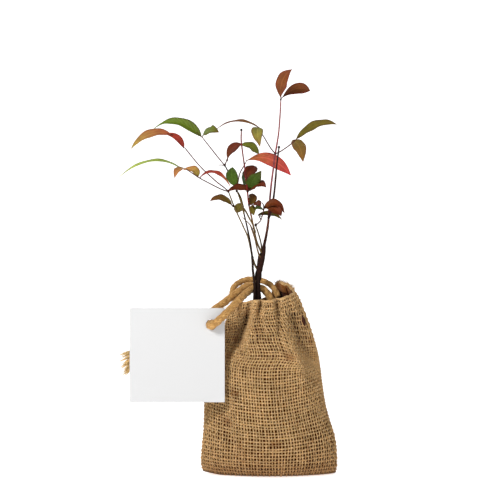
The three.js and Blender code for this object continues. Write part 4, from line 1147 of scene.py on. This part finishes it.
def studio():
    """A pale floor that curves up behind, a near-white world and two soft lamps."""
    world = bpy.data.worlds.new("studio_white")
    world.use_nodes = True
    world.node_tree.nodes["Background"].inputs["Color"].default_value = (1, 1, 1, 1)
    world.node_tree.nodes["Background"].inputs["Strength"].default_value = WORLD_LIGHT
    bpy.context.scene.world = world
    bpy.context.scene.view_settings.view_transform = "Standard"
    for name, (position, size, power) in LAMPS.items():
        soft_box(name, position, size, power)
    floor = bpy.data.meshes.new("pale_floor")
    corners = [(x, y, z) for y, z in FLOOR for x in (-FLOOR_REACH, FLOOR_REACH)]
    strips = range(len(FLOOR) - 1)
    floor.from_pydata(corners, [], [(2 * i, 2 * i + 1, 2 * i + 3, 2 * i + 2) for i in strips])
    floor.materials.append(floor_finish())
    obj = stand("pale_floor", floor)


front_camera()
studio()

# ---------------------------------------------------------------- cords
rope_yarn = [jute["drawstring_jute"]]
long_path = smooth_path(ROPE_TAIL_LONG, 200)
short_path = smooth_path(ROPE_TAIL_SHORT, 160)
loop_path = smooth_path(ROPE_LOOP, 96)
long_tail = piece("drawstring_tail_long", laid_rope(long_path, ROPE_D, ROPE_PITCH),
                  rope_yarn, ["rope_tail_long"])
# The last few millimetres are thicker where the end turns back through the tag.
turned_back = 1 + 0.4 * np.exp(-(((np.linspace(0, 1, len(short_path)) - 0.95) / 0.045) ** 2))
short_tail = piece("drawstring_tail_short", laid_rope(short_path, ROPE_D, ROPE_PITCH, swell=turned_back),
                   rope_yarn, ["rope_tail_short"])
piece("drawstring_loop", laid_rope(loop_path, LOOP_D, LOOP_PITCH), rope_yarn, ["rope_loop"])
fray = piece("frayed_end", frayed_end(long_path), [jute["opened_fibre"]], ["rope_fray"])
piece("drawstring_fibres", rope_fuzz(long_path, ROPE_D, 170) + rope_fuzz(loop_path, LOOP_D, 60),
      rope_yarn)
short_fibres = piece("short_tail_fibres", rope_fuzz(short_path, ROPE_D, 120), rope_yarn)
card = piece("blank_tag", [tag_card()], [card_finish()], ["swing_tag"], smooth=False)

# ---------------------------------------------------------------- bag
bag_yarn = [jute["burlap_yarn"]]
warp_skins, weft_skins = weave()
piece("burlap_warps", warp_skins, bag_yarn, ["burlap_bag"])
piece("burlap_wefts", weft_skins, bag_yarn, ["burlap_bag"])
# The casing's second layer behind the weave, in the dark shadow-side copy of the yarn: painted shade that
# shows through the holes.
piece("casing_lining", [band(80, BAG_NECK - 1.6, 32, 1.2, 1.7)], [jute["burlap_shadow_side"]])
# The turned-in hem inside the mouth, in a darker, redder copy of the yarn: painted shade for the inside of
# the back wall.
piece("mouth_hem", [hem_patch(-0.2, 2.2, 125.5, BAG_NECK + 0.1)], [jute["burlap_fold_painted_shade"]])
piece("bottom_hem", [band(0.8, 2.0, 4, -0.5, 1.2)], [jute["burlap_seam"]])
slit_lip, slit_dark = casing_slit()
piece("casing_slit_lip", [slit_lip], bag_yarn)
# The slit's lens in the dark shadow-side finish: painted shade where the opening's hollow lies in shadow.
piece("casing_slit", [slit_dark], [jute["burlap_shadow_side"]])
piece("rolled_edge", [rim_roll(), base_slab()], bag_yarn)
piece("burlap_fuzz", burlap_fuzz(1500), bag_yarn)
piece("rim_fringe", rim_fringe(0.3, 1.5, 260, 3.4), bag_yarn)
piece("rim_red_fringe", rim_fringe(0.9, 1.5, 90, 4.2), [jute["red_brown_fibre"]])
piece("soil", [soil_body()] + crumbs(420), [soil], ["root_ball"])

# ---------------------------------------------------------------- plant
for name, (points, radii, sides, coat) in STEMS.items():
    rough = 0.07 if name == "trunk" else 0.05
    slot_name = "bark" if coat == "stem_bark" else "stalk"
    piece(name + "_skin", [limb(points, radii, sides, rough)], [bark[coat]], [name])
piece("joints", [knob(row[:3], row[3]) for row in JOINTS], [bark["joint_skin"]])
piece("dry_sheaths", [sheath(*row) for row in SHEATHS], [bark["dry_sheath"]])
piece("stalk_sheath", [limb(*STALK_SHEATH)], [bark["dry_sheath"]])
piece("left_stalk_sheath", [limb(*LEFT_STALK_SHEATH)], [bark["olive_stalk_skin"]])
twig_skins = [limb(*BARE_TWIG)]
for name, (slot_name, twigs, leaves) in MASSES.items():
    twig_skins += [limb(points, TWIG_RADII, 8, 0.04) for points in twigs]
    twig_skins += [leaf_stalk(row, twigs[0][-1]) for row in leaves]
    used = sorted({row["tint"] for row in leaves})
    piece(name + "_blades", [blade(row) for row in leaves], [leaf_skins[tint] for tint in used],
          [name], shades=[used.index(row["tint"]) for row in leaves])
piece("leaf_twigs", twig_skins, [bark["twig_skin"]])
